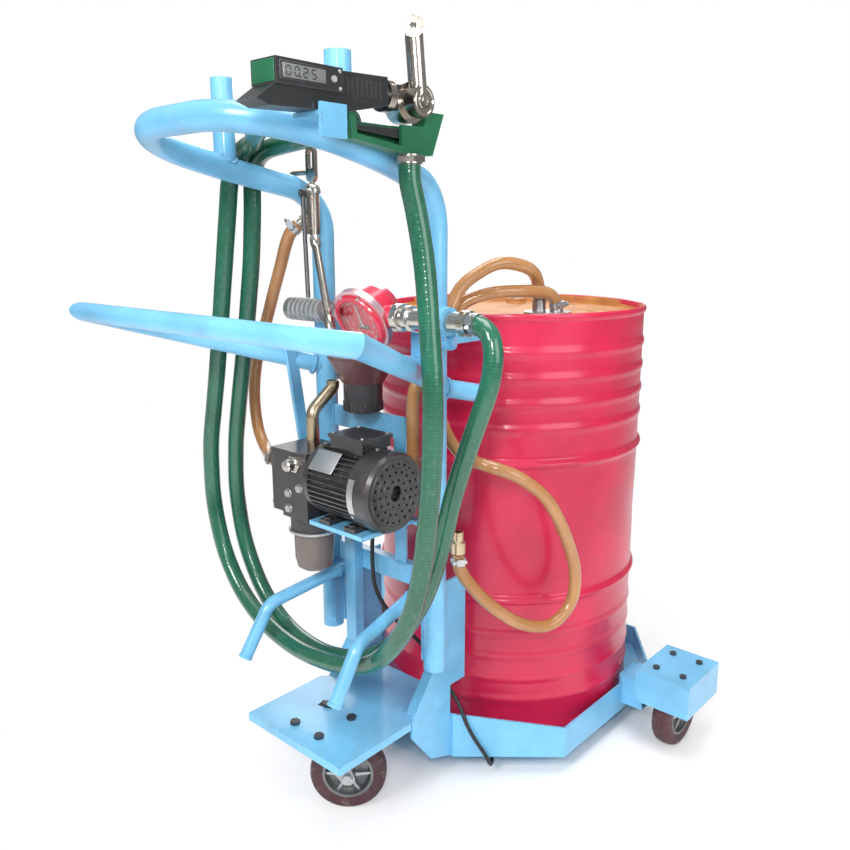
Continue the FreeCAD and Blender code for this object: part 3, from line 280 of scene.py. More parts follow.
# painted shade: the filter head's dark maroon-brown is the colour it shows in shade, so its base colour
# carries painted shade.
shaded_maroon_paint = painted("filter_paint_painted_shade", (0.110, 0.042, 0.046), (0.30, 0.20, 0.14), 0.36, 0.7, 0.5)
canister_paint = painted("canister_paint", (0.030, 0.028, 0.034), (0.20, 0.20, 0.20), 0.32, 0.5, 0.5)
zinc = metal("zinc_plate", (0.56, 0.57, 0.58), 0.34, tarnish_and_reflection=(0.22, 0.20, 0.17), dirt_and_reflection=0.5)
steel = metal("steel", (0.50, 0.50, 0.51), 0.30, grain=(1.0, 6.0, 6.0))
dark_steel = metal("dark_steel", (0.13, 0.13, 0.14), 0.40, dirt_and_reflection=0.4)
brass = metal("plated_brass", (0.62, 0.50, 0.34), 0.26, (1.0, 4.0, 4.0), (0.22, 0.15, 0.08), 0.55)
nickel = metal("nickel", (0.66, 0.63, 0.58), 0.20, tarnish_and_reflection=(0.30, 0.26, 0.20), dirt_and_reflection=0.35)
# painted reflection: the chrome's warm grey-brown tone and strong tarnish patches are partly real tarnish and
# partly painted dark reflection.
chrome = metal("chrome", (0.52, 0.48, 0.43), 0.17, tarnish_and_reflection=(0.20, 0.16, 0.12), dirt_and_reflection=0.65)
hub_alloy = metal("hub_alloy", (0.26, 0.27, 0.27), 0.46, tarnish_and_reflection=(0.12, 0.12, 0.11), dirt_and_reflection=0.6)
alloy = metal("cast_alloy", (0.52, 0.53, 0.53), 0.42, tarnish_and_reflection=(0.22, 0.22, 0.21), dirt_and_reflection=0.5)
# painted reflection: this silver flange ring is tinted pink, with reddish patches, for the red meter body
# reflected in it.
pink_reflection_ring = metal("flange_ring", (0.80, 0.52, 0.56), 0.33, tarnish_and_reflection=(0.50, 0.12, 0.16), dirt_and_reflection=0.5)
plate_alloy = metal("plate_alloy", (0.66, 0.67, 0.68), 0.38, (8.0, 1.0, 1.0), (0.3, 0.3, 0.3), 0.4)
gun_black = plastic("gun_black", (0.016, 0.018, 0.020), 0.30, wear=0.3)
bezel_black = plastic("bezel_black", (0.022, 0.022, 0.025), 0.36, wear=0.25)
guard_green = plastic("guard_green", (0.012, 0.125, 0.055), 0.34, scuff=(0.10, 0.35, 0.22), wear=0.35)
button_grey = plastic("button_grey", (0.35, 0.36, 0.36), 0.55)
white_label = plastic("white_label", (0.82, 0.82, 0.80), 0.5, scuff=(0.5, 0.48, 0.44), wear=0.25)
dial_red = plastic("dial_red", (0.80, 0.030, 0.070), 0.40, scuff=(0.60, 0.20, 0.22), wear=0.15)
ink_white = plastic("ink_white", (0.82, 0.78, 0.76), 0.45, scuff=(0.6, 0.55, 0.45), wear=0.1)
ink_black = plastic("ink_black", (0.015, 0.015, 0.015), 0.5, wear=0.1)
fan_plastic = plastic("fan_plastic", (0.05, 0.05, 0.055), 0.5)
lead_rubber = plastic("lead_rubber", (0.014, 0.014, 0.015), 0.42, 300.0, scuff=(0.2, 0.19, 0.18))
clear_glass = glassy("clear_glass", (0.98, 0.96, 0.96), 0.02, 1.0)
smoked_bowl = glassy("smoked_bowl", (0.27, 0.22, 0.20), 0.16, 0.45)
lcd = lcd_material()
head_paint = drum_head_material()
green_hose = braided_hose_material()
amber_hose = oil_hose_material()
oil_core = oil_core_material()
tyre_rubber = tyre_material()

NODE_LOOKS = {
    blue_paint: ("hoop_frame", "hoop_stub_tubes", "push_handle", "lower_cross_frame", "cross_panel",
                 "motor_shelf", "hose_hooks", "post_brackets", "front_plate", "neck_gussets", "drum_tray",
                 "side_caster_boxes"),
    dark_steel: ("frame_bolts", "drain_gun_lever"),
    red_paint: ("drum_shell",),
    head_paint: ("drum_top_head",),
    zinc: ("drum_bungs", "front_caster_plate", "front_fork", "side_caster_forks"),
    steel: ("drum_pipes", "motor_bearings", "rotor_shaft", "drive_gear", "idler_gear"),
    black_paint: ("motor_housing", "motor_end_shields", "terminal_box", "fan_cowl"),
    fan_plastic: ("cooling_fan",),
    pump_paint: ("pump_body", "pump_cover"),
    smoked_bowl: ("strainer_bowl",),
    brass: ("pump_fittings",),
    meter_paint: ("meter_housing",),
    pink_reflection_ring: ("meter_flange_ring",),
    dial_red: ("meter_dial",),
    clear_glass: ("meter_glass",),
    ink_white: ("meter_pointer",),
    alloy: ("inlet_coupling",),
    nickel: ("outlet_pipe",),
    shaded_maroon_paint: ("filter_head",),
    canister_paint: ("filter_canister",),
    green_hose: ("delivery_hose",),
    amber_hose: ("suction_hose", "return_hose", "drain_gun_hose"),
    lead_rubber: ("mains_lead",),
    gun_black: ("gun_body",),
    chrome: ("gun_chrome_fittings", "gun_spout", "drain_gun"),
    bezel_black: ("gun_display", "gun_trigger"),
    button_grey: ("gun_button",),
    guard_green: ("gun_guard",),
    tyre_rubber: ("front_wheel", "right_wheel", "left_wheel"),
}
for look, names in NODE_LOOKS.items():
    for name in names:
        data = NODES[name].data
        data.materials.clear()
        data.materials.append(look)

SOFT_EDGES = {
    0.0004: ("frame_bolts",),
    0.0008: ("post_brackets", "front_fork", "side_caster_forks", "front_caster_plate"),
    0.001: ("neck_gussets", "cross_panel", "motor_end_shields", "meter_flange_ring", "inlet_coupling",
            "drain_gun", "drum_bungs", "filter_head"),
    0.0012: ("front_plate", "drum_tray", "motor_shelf", "gun_spout"),
    0.0015: ("side_caster_boxes", "gun_trigger", "meter_housing", "gun_chrome_fittings"),
    0.002: ("lower_cross_frame", "gun_guard"),
    0.0022: ("pump_cover",),
    0.0025: ("pump_body",),
    0.003: ("terminal_box", "gun_display"),
    0.0045: ("gun_body",),
}
for width, names in SOFT_EDGES.items():
    for name in names:
        bevel = NODES[name].modifiers.new("soft_edges", "BEVEL")
        bevel.width = width
        bevel.segments = 2
        bevel.limit_method = "ANGLE"
        bevel.angle_limit = math.radians(35.0)
        bevel.use_clamp_overlap = True


# ---- mesh helpers: a shape is (points, faces) ----
def add_object(name, data):
    made = bpy.data.objects.new(name, data)
    bpy.context.scene.collection.objects.link(made)
    return made


def piece(name, shape, look, body="trolley", smooth=True, slot=None, replaces=()):
    points, faces = shape
    mesh = bpy.data.meshes.new(name)
    mesh.from_pydata([(p[0], p[1], p[2] - FLOOR) for p in points], [], faces)
    mesh.update()
    made = add_object(name, mesh)
    work = bmesh.new()
    work.from_mesh(mesh)
    bmesh.ops.recalc_face_normals(work, faces=work.faces)
    work.to_mesh(mesh)
    work.free()
    mesh.materials.append(look)
    if smooth:
        mesh.polygons.foreach_set("use_smooth", [True] * len(mesh.polygons))
    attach(made, body)
    if replaces:
        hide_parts(*replaces)
    return made


def sharpen(made, degrees=35.0):
    """Smooth shading that keeps edges sharper than the angle crisp."""
    mesh = made.data
    work = bmesh.new()
    work.from_mesh(mesh)
    limit = math.radians(degrees)
    for edge in work.edges:
        edge.smooth = not (len(edge.link_faces) == 2 and edge.calc_face_angle(0.0) > limit)
    work.to_mesh(mesh)
    work.free()


def basis(axis):
    """The unit vector along axis and two more, square to it and to each other."""
    axis = Vector(axis).normalized()
    side = axis.cross(Z_AXIS if abs(axis.z) < 0.9 else X_AXIS).normalized()
    return axis, side, axis.cross(side).normalized()


def spokes(count, side, up, start=0.0):
    """Unit vectors fanned evenly round the circle of side and up."""
    angles = [start + k * TURN / count for k in range(count)]
    return [side * math.cos(angle) + up * math.sin(angle) for angle in angles]


def ring_faces(rings, count, looped=False):
    """Faces between neighbouring rings of count points; looped joins the last ring to the first."""
    faces = []
    for i in range(rings if looped else rings - 1):
        here, ahead = i * count, (i + 1) % rings * count
        for k in range(count):
            after = (k + 1) % count
            faces.append((here + k, here + after, ahead + after, ahead + k))
    return faces


def joined(shapes):
    """Several shapes as one."""
    points, faces = [], []
    for some_points, some_faces in shapes:
        start = len(points)
        points += list(some_points)
        faces += [tuple(i + start for i in face) for face in some_faces]
    return points, faces


def turned_shape(profile, origin, axis, count, closed=False, wobble=None):
    """Corners (radius, height) turned about axis. wobble(angle, height) is added to the radius."""
    axis, side, up = basis(axis)
    origin = Vector(origin)
    points = []
    for radius, height in profile:
        middle = origin + axis * height
        for k in range(count):
            angle = k * TURN / count
            reach = radius + (wobble(angle, height) if wobble else 0.0)
            points.append(middle + side * (reach * math.cos(angle)) + up * (reach * math.sin(angle)))
    faces = ring_faces(len(profile), count)
    if closed:
        faces.append(tuple(range(count)))
        faces.append(tuple(reversed(range(len(points) - count, len(points)))))
    return points, faces


def turned(name, profile, origin, axis, look, count, body="trolley", closed=False, wobble=None, **extra):
    sharpen(piece(name, turned_shape(profile, origin, axis, count, closed, wobble), look, body, **extra))


CUBE_FACES = [(0, 1, 3, 2), (4, 6, 7, 5), (0, 4, 5, 1), (2, 3, 7, 6), (0, 2, 6, 4), (1, 5, 7, 3)]


def brick(centre, half_a, half_b, half_c):
    """A box about centre, from the vectors to the middles of three of its faces."""
    ends = (-1, 1)
    points = [centre + half_a * i + half_b * j + half_c * k for i in ends for j in ends for k in ends]
    return points, CUBE_FACES


def upright_box(low, high):
    (x0, y0, z0), (x1, y1, z1) = low, high
    return [(x, y, z) for x in (x0, x1) for y in (y0, y1) for z in (z0, z1)], CUBE_FACES


def rounded_box(name, low, high, radius, look, turn=None, about=(0, 0, 0), segments=3):
    """A box with rounded edges; turn is a rotation matrix applied about a point."""
    points, faces = upright_box(low, high)
    work = bmesh.new()
    corners = [work.verts.new(p) for p in points]
    for face in faces:
        work.faces.new([corners[i] for i in face])
    bmesh.ops.bevel(work, geom=list(work.edges), offset=radius, segments=segments, profile=0.5,
                    affect="EDGES")
    if turn is not None:
        bmesh.ops.rotate(work, cent=about, matrix=turn, verts=work.verts)
    work.verts.index_update()
    made_points = [v.co.copy() for v in work.verts]
    made_faces = [tuple(v.index for v in f.verts) for f in work.faces]
    work.free()
    piece(name, (made_points, made_faces), look)


def swept(path, radius, count, swell=None):
    """Rings along a path, carried without twist. swell(angle, distance) is added to the radius.
    Returns the shape and each point's (turn, distance)."""
    points, marks = [], []
    tangents = []
    for i in range(len(path)):
        ahead = path[min(i + 1, len(path) - 1)] - path[max(i - 1, 0)]
        tangents.append(ahead.normalized())
    _, side, _ = basis(tangents[0])
    distance = 0.0
    for i, here in enumerate(path):
        if i:
            distance += (here - path[i - 1]).length
            side = (side - tangents[i] * side.dot(tangents[i])).normalized()
        up = tangents[i].cross(side)
        for k in range(count):
            angle = k * TURN / count
            reach = radius(distance) if callable(radius) else radius
            if swell:
                reach += swell(angle, distance)
            points.append(here + side * (reach * math.cos(angle)) + up * (reach * math.sin(angle)))
            marks.append((k / count, distance))
    faces = ring_faces(len(path), count)
    faces.append(tuple(reversed(range(count))))
    faces.append(tuple(range(len(points) - count, len(points))))
    return (points, faces), marks


def course(corners, step):
    """A hose's course in metres: its corners rounded, sampled every step and lightly smoothed."""
    corners = [Vector(c) / 1000.0 for c in corners]
    dense = [corners[0]]
    for before, here, after in zip(corners, corners[1:], corners[2:]):
        back, ahead = before - here, after - here
        room = 0.46 * min(back.length, ahead.length)
        start, end = here + back.normalized() * room, here + ahead.normalized() * room
        for k in range(9):
            t = k / 8
            dense.append(start * (1 - t) ** 2 + here * 2 * t * (1 - t) + end * t ** 2)
    dense.append(corners[-1])
    even, left = [dense[0]], step
    for a, b in zip(dense, dense[1:]):
        length = (b - a).length
        while length > left:
            a = a + (b - a) * (left / length)
            even.append(a)
            length -= left
            left = step
        left -= length
    even.append(dense[-1])
    ends = max(2, int(0.012 / step))
    for _ in range(14):
        inner = [(even[i - 1] + even[i] * 2 + even[i + 1]) / 4 for i in range(ends, len(even) - ends)]
        even = even[:ends] + inner + even[-ends:]
    return even


def hose_piece(name, path, radius, count, look, swell, **extra):
    """A hose whose UVs count turns round it and metres along it."""
    shape, marks = swept(path, radius, count, swell)
    made = piece(name, shape, look, **extra)
    layer = made.data.uv_layers.new(name="along")
    for polygon in made.data.polygons:
        places = [marks[made.data.loops[i].vertex_index] for i in polygon.loop_indices]
        turns = [turn for turn, _ in places]
        wraps = max(turns) - min(turns) > 0.5
        for i, (turn, distance) in zip(polygon.loop_indices, places):
            layer.data[i].uv = (turn + 1.0 if wraps and turn < 0.5 else turn, distance)


def worm_clamp(name, at, axis, radius, facing):
    """A worm-drive hose clip: a slotted band, its screw box and a hex screw."""
    axis, _, _ = basis(axis)
    facing = (Vector(facing) - axis * Vector(facing).dot(axis)).normalized()
    across = axis.cross(facing)
    band = [(radius, -0.0058), (radius + 0.0012, -0.0058), (radius + 0.0012, 0.0058), (radius, 0.0058)]
    seat = at + facing * (radius + 0.004)
    screw = [(0.0, -0.012), (0.0032, -0.012), (0.0032, 0.010), (0.0048, 0.010), (0.0048, 0.0145),
             (0.0, 0.0145)]
    shapes = [turned_shape(band + band[:1], at, axis, 40),
              brick(seat, axis * 0.0062, across * 0.0075, facing * 0.0032),
              turned_shape(screw, seat, across, 12)]
    for out in spokes(14, facing, across, 0.9)[:10]:
        slot = at + out * (radius + 0.0013)
        shapes.append(brick(slot, axis * 0.0035, out.cross(axis) * 0.0009, out * 0.0004))
    sharpen(piece(name, joined(shapes), zinc), 30.0)


def weld_ring(name, at, axis, radius, size, tilt=None):
    """A bead of weld round a tube, with the ripple of its passes. tilt(out) moves it along the tube."""
    axis, side, up = basis(axis)
    at = Vector(at)
    count, ring = 184, 8
    path = []
    for out in spokes(count, side, up):
        path.append(at + out * radius + axis * (tilt(out) if tilt else 0.0))
    points = []
    for k, here in enumerate(path):
        ahead = (path[(k + 1) % count] - path[k - 1]).normalized()
        out = (here - at - axis * (here - at).dot(axis)).normalized()
        ripple = size * (1.0 + 0.16 * math.sin(k * math.pi / 2) + 0.14 * math.sin(k * 0.37 + radius * 900))
        points += [here + spoke * ripple for spoke in spokes(ring, out, ahead.cross(out))]
    piece(name, (points, ring_faces(count, ring, looped=True)), weld_paint)


def weld_line(name, start, end, size):
    start, end = Vector(start), Vector(end)
    length = (end - start).length
    steps = max(8, int(length / 0.0011))
    path = [start + (end - start) * (k / steps) for k in range(steps + 1)]

    def radius(distance):
        taper = max(0.12, min(1.0, distance / 0.004, max(0.02, (length - distance) / 0.004)))
        ripple = 0.18 * math.sin(distance * 1400) + 0.12 * math.sin(distance * 331 + length * 77)
        return size * taper * (1 + ripple)

    piece(name, swept(path, radius, 8)[0], weld_paint)


def hex_shape(base, axis, across, height):
    """A hexagon nut or bolt head with a chamfered top."""
    axis, side, up = basis(axis)
    corner = across / math.sqrt(3)
    points = []
    for reach, level in ((corner, 0.0), (corner, height * 0.88), (corner * 0.86, height)):
        points += [Vector(base) + axis * level + spoke * reach for spoke in spokes(6, side, up)]
    return points, ring_faces(3, 6) + [tuple(reversed(range(6))), tuple(range(12, 18))]


def bolt_heads(name, places, across, height, washer=0.0):
    shapes = []
    for base, axis in places:
        base, axis = Vector(base), Vector(axis).normalized()
        if washer:
            ring = [(across * 0.3, 0.0), (washer, 0.0), (washer, 0.0012), (across * 0.3, 0.0012)]
            shapes.append(turned_shape(ring, base, axis, 24))
            base = base + axis * 0.0011
        shapes.append(hex_shape(base, axis, across, height))
    piece(name, joined(shapes), zinc, smooth=False)


def screw_heads(name, profile, places, axis):
    piece(name, joined([turned_shape(profile, at, axis, 16, closed=True) for at in places]), zinc)


def flat_digit(name, digit, size, centre, right, up, depth):
    """A plain digit raised from a surface, as a mesh."""
    curve = bpy.data.curves.new(name, "FONT")
    curve.body = digit
    curve.size = size
    curve.extrude = depth
    curve.align_x = "CENTER"
    curve.align_y = "CENTER"
    holder = add_object(name + "_curve", curve)
    bpy.context.view_layer.update()
    mesh = bpy.data.meshes.new_from_object(holder)
    bpy.data.objects.remove(holder)
    turn = Matrix((right, up, right.cross(up))).transposed().to_4x4()
    turn.translation = centre - Z_AXIS * FLOOR
    mesh.transform(turn)
    mesh.materials.clear()
    mesh.materials.append(ink_white)
    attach(add_object(name, mesh), "trolley")


# ---- drum ----
BEADS = [(level, 0.0024, 0.015) for level in (0.075, 0.125, 0.175, 0.225)]
BEADS += [(level, 0.0072, 0.013) for level in (0.300, 0.585)]
BEADS += [(level, 0.0034, 0.015) for level in (0.655, 0.705, 0.755, 0.805)]
BEAD_GAP = 0.008
WALL_STEP = 0.016
HEAD_LOW, HEAD_HIGH = 0.8592, 0.8612
SEAM_ANGLE = 2.2


def off_wall(corners):
    """Profile corners given by how far they stand out from the drum's wall, and their height."""
    return [(DRUM_RADIUS + out, height) for out, height in corners]


def rolled_bead(height, swell, half):
    """A hoop pressed outward from the drum's wall."""
    return off_wall([(swell * (0.5 + 0.5 * math.cos(math.pi * k / 6)), height + half * k / 6)
                     for k in range(-6, 7)])


def drum_dents(angle, height):
    """Slow waves and a few shallow dents in the skin."""
    wave = 0.0005 * math.sin(3 * angle + 7.0 * height) + 0.0003 * math.sin(7 * angle - 11.0 * height + 1.0)
    for where, level, width, depth in ((5.10, 0.44, 0.16, 0.0022), (4.62, 0.66, 0.11, 0.0016),
                                       (5.55, 0.20, 0.20, 0.0018), (1.9, 0.50, 0.22, 0.0025),
                                       (3.2, 0.25, 0.18, 0.0018)):
        near = ((angle - where) / width) ** 2 + ((height - level) / (width * 0.30)) ** 2
        wave -= depth * math.exp(-near)
    return wave


def build_drum():
    wall = [(0.0001, 0.016), (DRUM_RADIUS - 0.005, 0.016), (DRUM_RADIUS - 0.004, 0.002)]
    wall += off_wall([(0.001, 0.0), (0.0035, 0.002), (0.0042, 0.007), (0.0032, 0.012), (0.0, 0.017)])
    level = 0.03
    for height, swell, half in BEADS:
        while level < height - half - BEAD_GAP:
            wall.append((DRUM_RADIUS, level))
            level += WALL_STEP
        wall += rolled_bead(height, swell, half)
        level = height + half + BEAD_GAP
    wall += off_wall([(0.0, 0.835), (0.0, 0.852), (0.0, 0.864), (0.0032, 0.868), (0.0045, 0.873),
                      (0.0032, 0.878), (0.0005, 0.880), (-0.0025, 0.8785), (-0.0040, 0.874),
                      (-0.0040, 0.8600)])
    count = 288
    base = Z_AXIS * DRUM_BASE
    turned("drum_shell_skin", wall, base, Z_AXIS, red_paint, count, wobble=drum_dents,
           slot="drum_red", replaces=("drum_shell",))
    head = off_wall([(-0.0026, 0.8787), (-0.0043, 0.8742), (-0.0043, 0.868), (-0.0055, 0.8605),
                     (-0.012, 0.8590), (-0.020, 0.8590), (-0.026, HEAD_HIGH), (-0.034, HEAD_HIGH),
                     (-0.040, HEAD_LOW)])
    for radius in (0.205, 0.165, 0.095):
        head += [(radius + 0.012, HEAD_LOW), (radius + 0.005, HEAD_HIGH), (radius - 0.005, HEAD_HIGH),
                 (radius - 0.012, HEAD_LOW)]
    head.append((0.0001, HEAD_LOW))
    turned("drum_head_pressing", head, base, Z_AXIS, head_paint, count // 2,
           slot="drum_red", replaces=("drum_top_head",))
    flange_base = DRUM_TOP - 0.0205
    for k, (x, y, bung) in enumerate(((0.183, -0.130, 0.042), (-0.120, 0.185, 0.017))):
        lip = [(0.009, -0.001), (0.008, 0.003), (0.006, 0.005), (0.006, 0.011), (0.0045, 0.0125),
               (0.0005, 0.0125), (0.0005, 0.0)]
        ring = [(bung + out, height) for out, height in lip]
        turned("bung_flange_%d" % (k + 1), ring, (x, y, flange_base), Z_AXIS, head_paint, 48)
    # welded side seam, on the far side from the operator
    foot = Vector((math.cos(SEAM_ANGLE), math.sin(SEAM_ANGLE), 0)) * (DRUM_RADIUS + 0.0002) + base
    seam = [foot + Z_AXIS * (step / 200) for step in range(5, 58)]
    piece("drum_side_seam", swept(seam, 0.0016, 8)[0], red_paint)


# ---- hoses, with clips and end fittings ----
# Corners of each course, in millimetres, as in the CAD.
HOSES = {
    "delivery_hose": [
        (258.4, -462, 972), (274, -462, 972), (300, -465, 960), (310, -468, 928), (308, -473, 880),
        (280, -481, 795), (246, -489, 690), (224, -493, 590), (188, -502, 475), (124, -522, 378),
        (55, -530, 335), (-40, -535, 315), (-150, -530, 325), (-245, -521, 375), (-308, -518, 470),
        (-330, -518, 590), (-318, -518, 710), (-294, -518, 810), (-262, -518, 940), (-236, -518, 1065),
        (-226, -518, 1160), (-223, -518, 1216), (-204, -520, 1250), (-168, -523, 1262), (-115, -526, 1267),
        (-50, -535, 1270), (40, -545, 1276), (105, -565, 1282), (128, -605, 1286), (105, -645, 1288),
        (40, -655, 1286), (-30, -640, 1282), (-100, -600, 1274), (-158, -559, 1270), (-206, -556, 1258),
        (-238, -557, 1216), (-248, -559, 1150), (-264, -560, 1066), (-292, -560, 930), (-323, -560, 790),
        (-350, -560, 690), (-352, -560, 560), (-315, -563, 455), (-250, -568, 385), (-160, -573, 342),
        (-60, -573, 326), (50, -573, 338), (124, -575, 366), (178, -579, 413), (228, -582, 480),
        (252, -577, 560), (264, -570, 680), (269, -567, 800), (270, -567, 880), (260, -564, 970),
        (246, -560, 1075), (236, -568, 1150), (232, -577, 1190), (232, -577, 1210.6)],
    "suction_hose": [
        (168, -138, 988.4), (168, -138, 1006), (172, -156, 1034), (184, -200, 1052), (160, -262, 1066),
        (118, -320, 1022), (112, -345, 970), (108, -370, 920), (103, -398, 880), (97, -420, 845),
        (96, -425, 810), (96, -425, 690), (90, -412, 655), (66, -396, 628), (30, -388, 616),
        (-20, -388, 616), (-58, -396, 624), (-76, -416, 640), (-76, -436.6, 640)],
    "return_hose": [
        (198, -122, 970.4), (198, -122, 984), (197, -146, 1002), (184, -205, 1009), (152, -264, 1009),
        (112, -300, 992), (88, -322, 955), (78, -335, 905), (76, -342, 850), (84, -346, 800),
        (108, -352, 755), (145, -360, 722), (185, -364, 710), (225, -358, 706), (262, -328, 690),
        (288, -268, 640), (303, -225, 560), (308, -192, 480), (306, -195, 410), (290, -245, 372),
        (262, -310, 392), (230, -368, 445), (200, -402, 500), (192, -410, 526), (192, -410, 545.6)],
    "drain_gun_hose": [
        (-136.6, -482.5, 1129.4), (-148, -491.7, 1118.6), (-170, -487, 1094), (-205, -472, 1055),
        (-244, -463, 1000), (-285, -458, 925), (-322, -458, 840), (-330, -460, 770), (-312, -466, 705),
        (-262, -482, 672), (-218, -510, 676), (-196, -523, 680), (-176.4, -523, 680)],
    "mains_lead": [
        (40, -474.6, 752), (40, -460, 752), (36, -446, 745), (24, -437, 725), (-5, -431, 640),
        (-5, -431, 560), (-8, -433, 505), (0, -437, 440), (10, -428, 405), (22, -400, 358), (33, -368, 320),
        (46, -348, 294), (64, -341, 266), (86, -336, 238), (106, -333, 214), (124, -331, 193),
        (138, -332, 179), (150, -337, 165), (158, -336, 148), (170, -327, 118), (184, -314, 88),
        (191, -307, 70), (193, -303, 56), (188, -292, 50), (178, -276, 50), (164, -258, 58), (152, -244, 68)],
}
DELIVERY_RADIUS, DELIVERY_CLIP = 0.0164, 0.0168
OIL_HOSE_RADIUS, OIL_HOSE_CLIP = 0.0119, 0.0122
OIL_RADIUS = 0.0082
LEAD_RADIUS = 0.0041


def braided_surface(angle, distance):
    """A fine helical cord just under the hose's cover."""
    return 0.00008 * (math.sin(angle + distance * TURN / 0.0104) + math.sin(3 * angle - distance * 60))


def ribbed_surface(angle, distance):
    return 0.00010 * math.sin(distance * TURN / 0.0045) + 0.00018 * math.sin(distance * 31 + angle)


def lead_surface(angle, distance):
    return 0.00012 * math.sin(distance * 700 + angle)


def build_hoses():
    paths = {name: course(corners, 0.003) for name, corners in HOSES.items()}
    paths["delivery_hose"] = course(HOSES["delivery_hose"], 0.0026)
    hose_piece("delivery_hose_braided", paths["delivery_hose"], DELIVERY_RADIUS, 32,
               green_hose, braided_surface, slot="hose_green", replaces=("delivery_hose",))
    for name in ("suction_hose", "return_hose", "drain_gun_hose"):
        hose_piece(name + "_clear", paths[name], OIL_HOSE_RADIUS, 24, amber_hose, ribbed_surface,
                   slot="hose_amber", replaces=(name,))
        piece(name + "_oil", swept(paths[name][2:-2], OIL_RADIUS, 16)[0], oil_core, slot="hose_amber")
    hose_piece("mains_lead_sheath", paths["mains_lead"], LEAD_RADIUS, 12, lead_rubber, lead_surface,
               slot="lead_black", replaces=("mains_lead",))
    # each clip's hose, the hose's end, and the way the clip's screw box faces
    clips = (("delivery_hose", "start", (0, -1, 0.4)),
             ("suction_hose", "start", (1, -1, 0)), ("suction_hose", "end", (0.3, 0, 1)),
             ("return_hose", "start", (1, -0.3, 0)), ("return_hose", "end", (1, -0.7, 0)),
             ("drain_gun_hose", "start", (0, -1, 0)), ("drain_gun_hose", "end", (0, -1, 0.3)))
    for name, end, facing in clips:
        radius = DELIVERY_CLIP if name == "delivery_hose" else OIL_HOSE_CLIP
        path = paths[name] if end == "start" else paths[name][::-1]
        axis = (path[4] - path[0]).normalized()
        worm_clamp("clip_%s_%s" % (name, end), path[0] + axis * 0.0095, axis, radius, facing)


# ---- frame details: weld beads, end caps, plate markings ----
def build_welds():
    rings = []
    for side in (-1, 1):
        rings += [
            ("handle", (side * (POST_X + 0.0128), POST_Y - 0.0218, 0.8637), (side * 0.208, -0.381, 0.12),
             HANDLE_TUBE, 0.0036),
            ("stop", (side * (POST_X + 0.006), POST_Y + 0.0206, 0.8450), (side * 0.027, 0.096, -0.022),
             HANDLE_TUBE, 0.0034),
            ("hook", (side * 0.1035, -0.4205 - 0.0195, 0.4432), (side * 0.026, -0.180, -0.031),
             HOOK_TUBE, 0.0032)]
    for k, (name, at, axis, radius, size) in enumerate(rings):
        weld_ring("weld_%s_%d" % (name, k + 1), at, axis, radius, size)

    def saddle(out):
        """How far the seam drops where a stub meets the round hoop tube, which runs along Y."""
        return math.sqrt(HOOP_TUBE ** 2 - (out.x * STUB_TUBE) ** 2) - HOOP_SLOPE * out.y * STUB_TUBE

    for k, (x, y) in enumerate(((0.188, -0.672), (-0.187, -0.600))):
        on_hoop = (x, y, HOOP_HEIGHT + HOOP_SLOPE * (POST_Y - y))
        weld_ring("weld_stub_%d" % (k + 1), on_hoop, Z_AXIS, 0.0193, 0.0034, saddle)
    arm_low, arm_high = SIDE_CASTER[1] - 0.035, SIDE_CASTER[1] + 0.035
    lines = [
        ((0.1395, -0.441, 0.592), (0.1245, -0.441, 0.592)),
        ((-0.052, -0.4400, 0.5915), (-0.076, -0.4400, 0.5915)),
        ((-0.1225, -0.4205, 0.742), (-0.1225, -0.4205, 0.784)),
        ((0.043, -0.4205, 0.497), (0.071, -0.4205, 0.497)),
        ((0.205, -0.765, 1.2645), (0.205, -0.727, 1.2645)),
    ]
    for side in (-1, 1):
        lines += [
            ((side * 0.122, -0.420, 0.457), (side * 0.122, -0.420, 0.497)),
            ((side * 0.1155, -0.456, PLATE_TOP), (side * 0.1155, -0.347, PLATE_TOP)),
            ((side * 0.1265, -0.4330, 0.324), (side * 0.1265, -0.4330, 0.446)),
            ((side * 0.1435, -0.3965, 0.924), (side * 0.1435, -0.3965, 0.946)),
            ((side * 0.301, arm_low, 0.160), (side * 0.301, arm_high, 0.160)),
            ((side * 0.3015, arm_low, 0.092), (side * 0.3015, arm_low, 0.158)),
            ((side * 0.3015, arm_high, 0.092), (side * 0.3015, arm_high, 0.158)),
            ((side * 0.296, -0.1945, 0.134), (side * 0.296, -0.1945, 0.070)),
        ]
    for k, (start, end) in enumerate(lines):
        weld_line("weld_line_%d" % (k + 1), start, end, 0.0026)


def build_plate_marks():
    """The flat black L-shaped mark on the front plate and the end caps on the hooks."""
    outline = [(-0.050, -0.548), (-0.020, -0.540), (-0.0215, -0.534), (-0.045, -0.5405), (-0.047, -0.527),
               (-0.054, -0.529)]
    n = len(outline)
    points = [(x, y, level) for level in (PLATE_TOP, PLATE_TOP + 0.0006) for x, y in outline]
    faces = [tuple(range(n)), tuple(reversed(range(n, 2 * n)))] + ring_faces(2, n)
    piece("plate_slot_mark", (points, faces), ink_black, smooth=False)
    cap = [(0.0126, -0.004), (0.0136, -0.003), (0.0136, 0.001), (0.0120, 0.0025), (0.0, 0.0030)]
    for name, side in (("left", -1), ("right", 1)):
        tip, back = Vector((side * 0.126, -0.658, 0.327)), Vector((side * 0.124, -0.598, 0.417))
        turned("hook_end_cap_" + name, cap, tip, tip - back, blue_paint, 32)


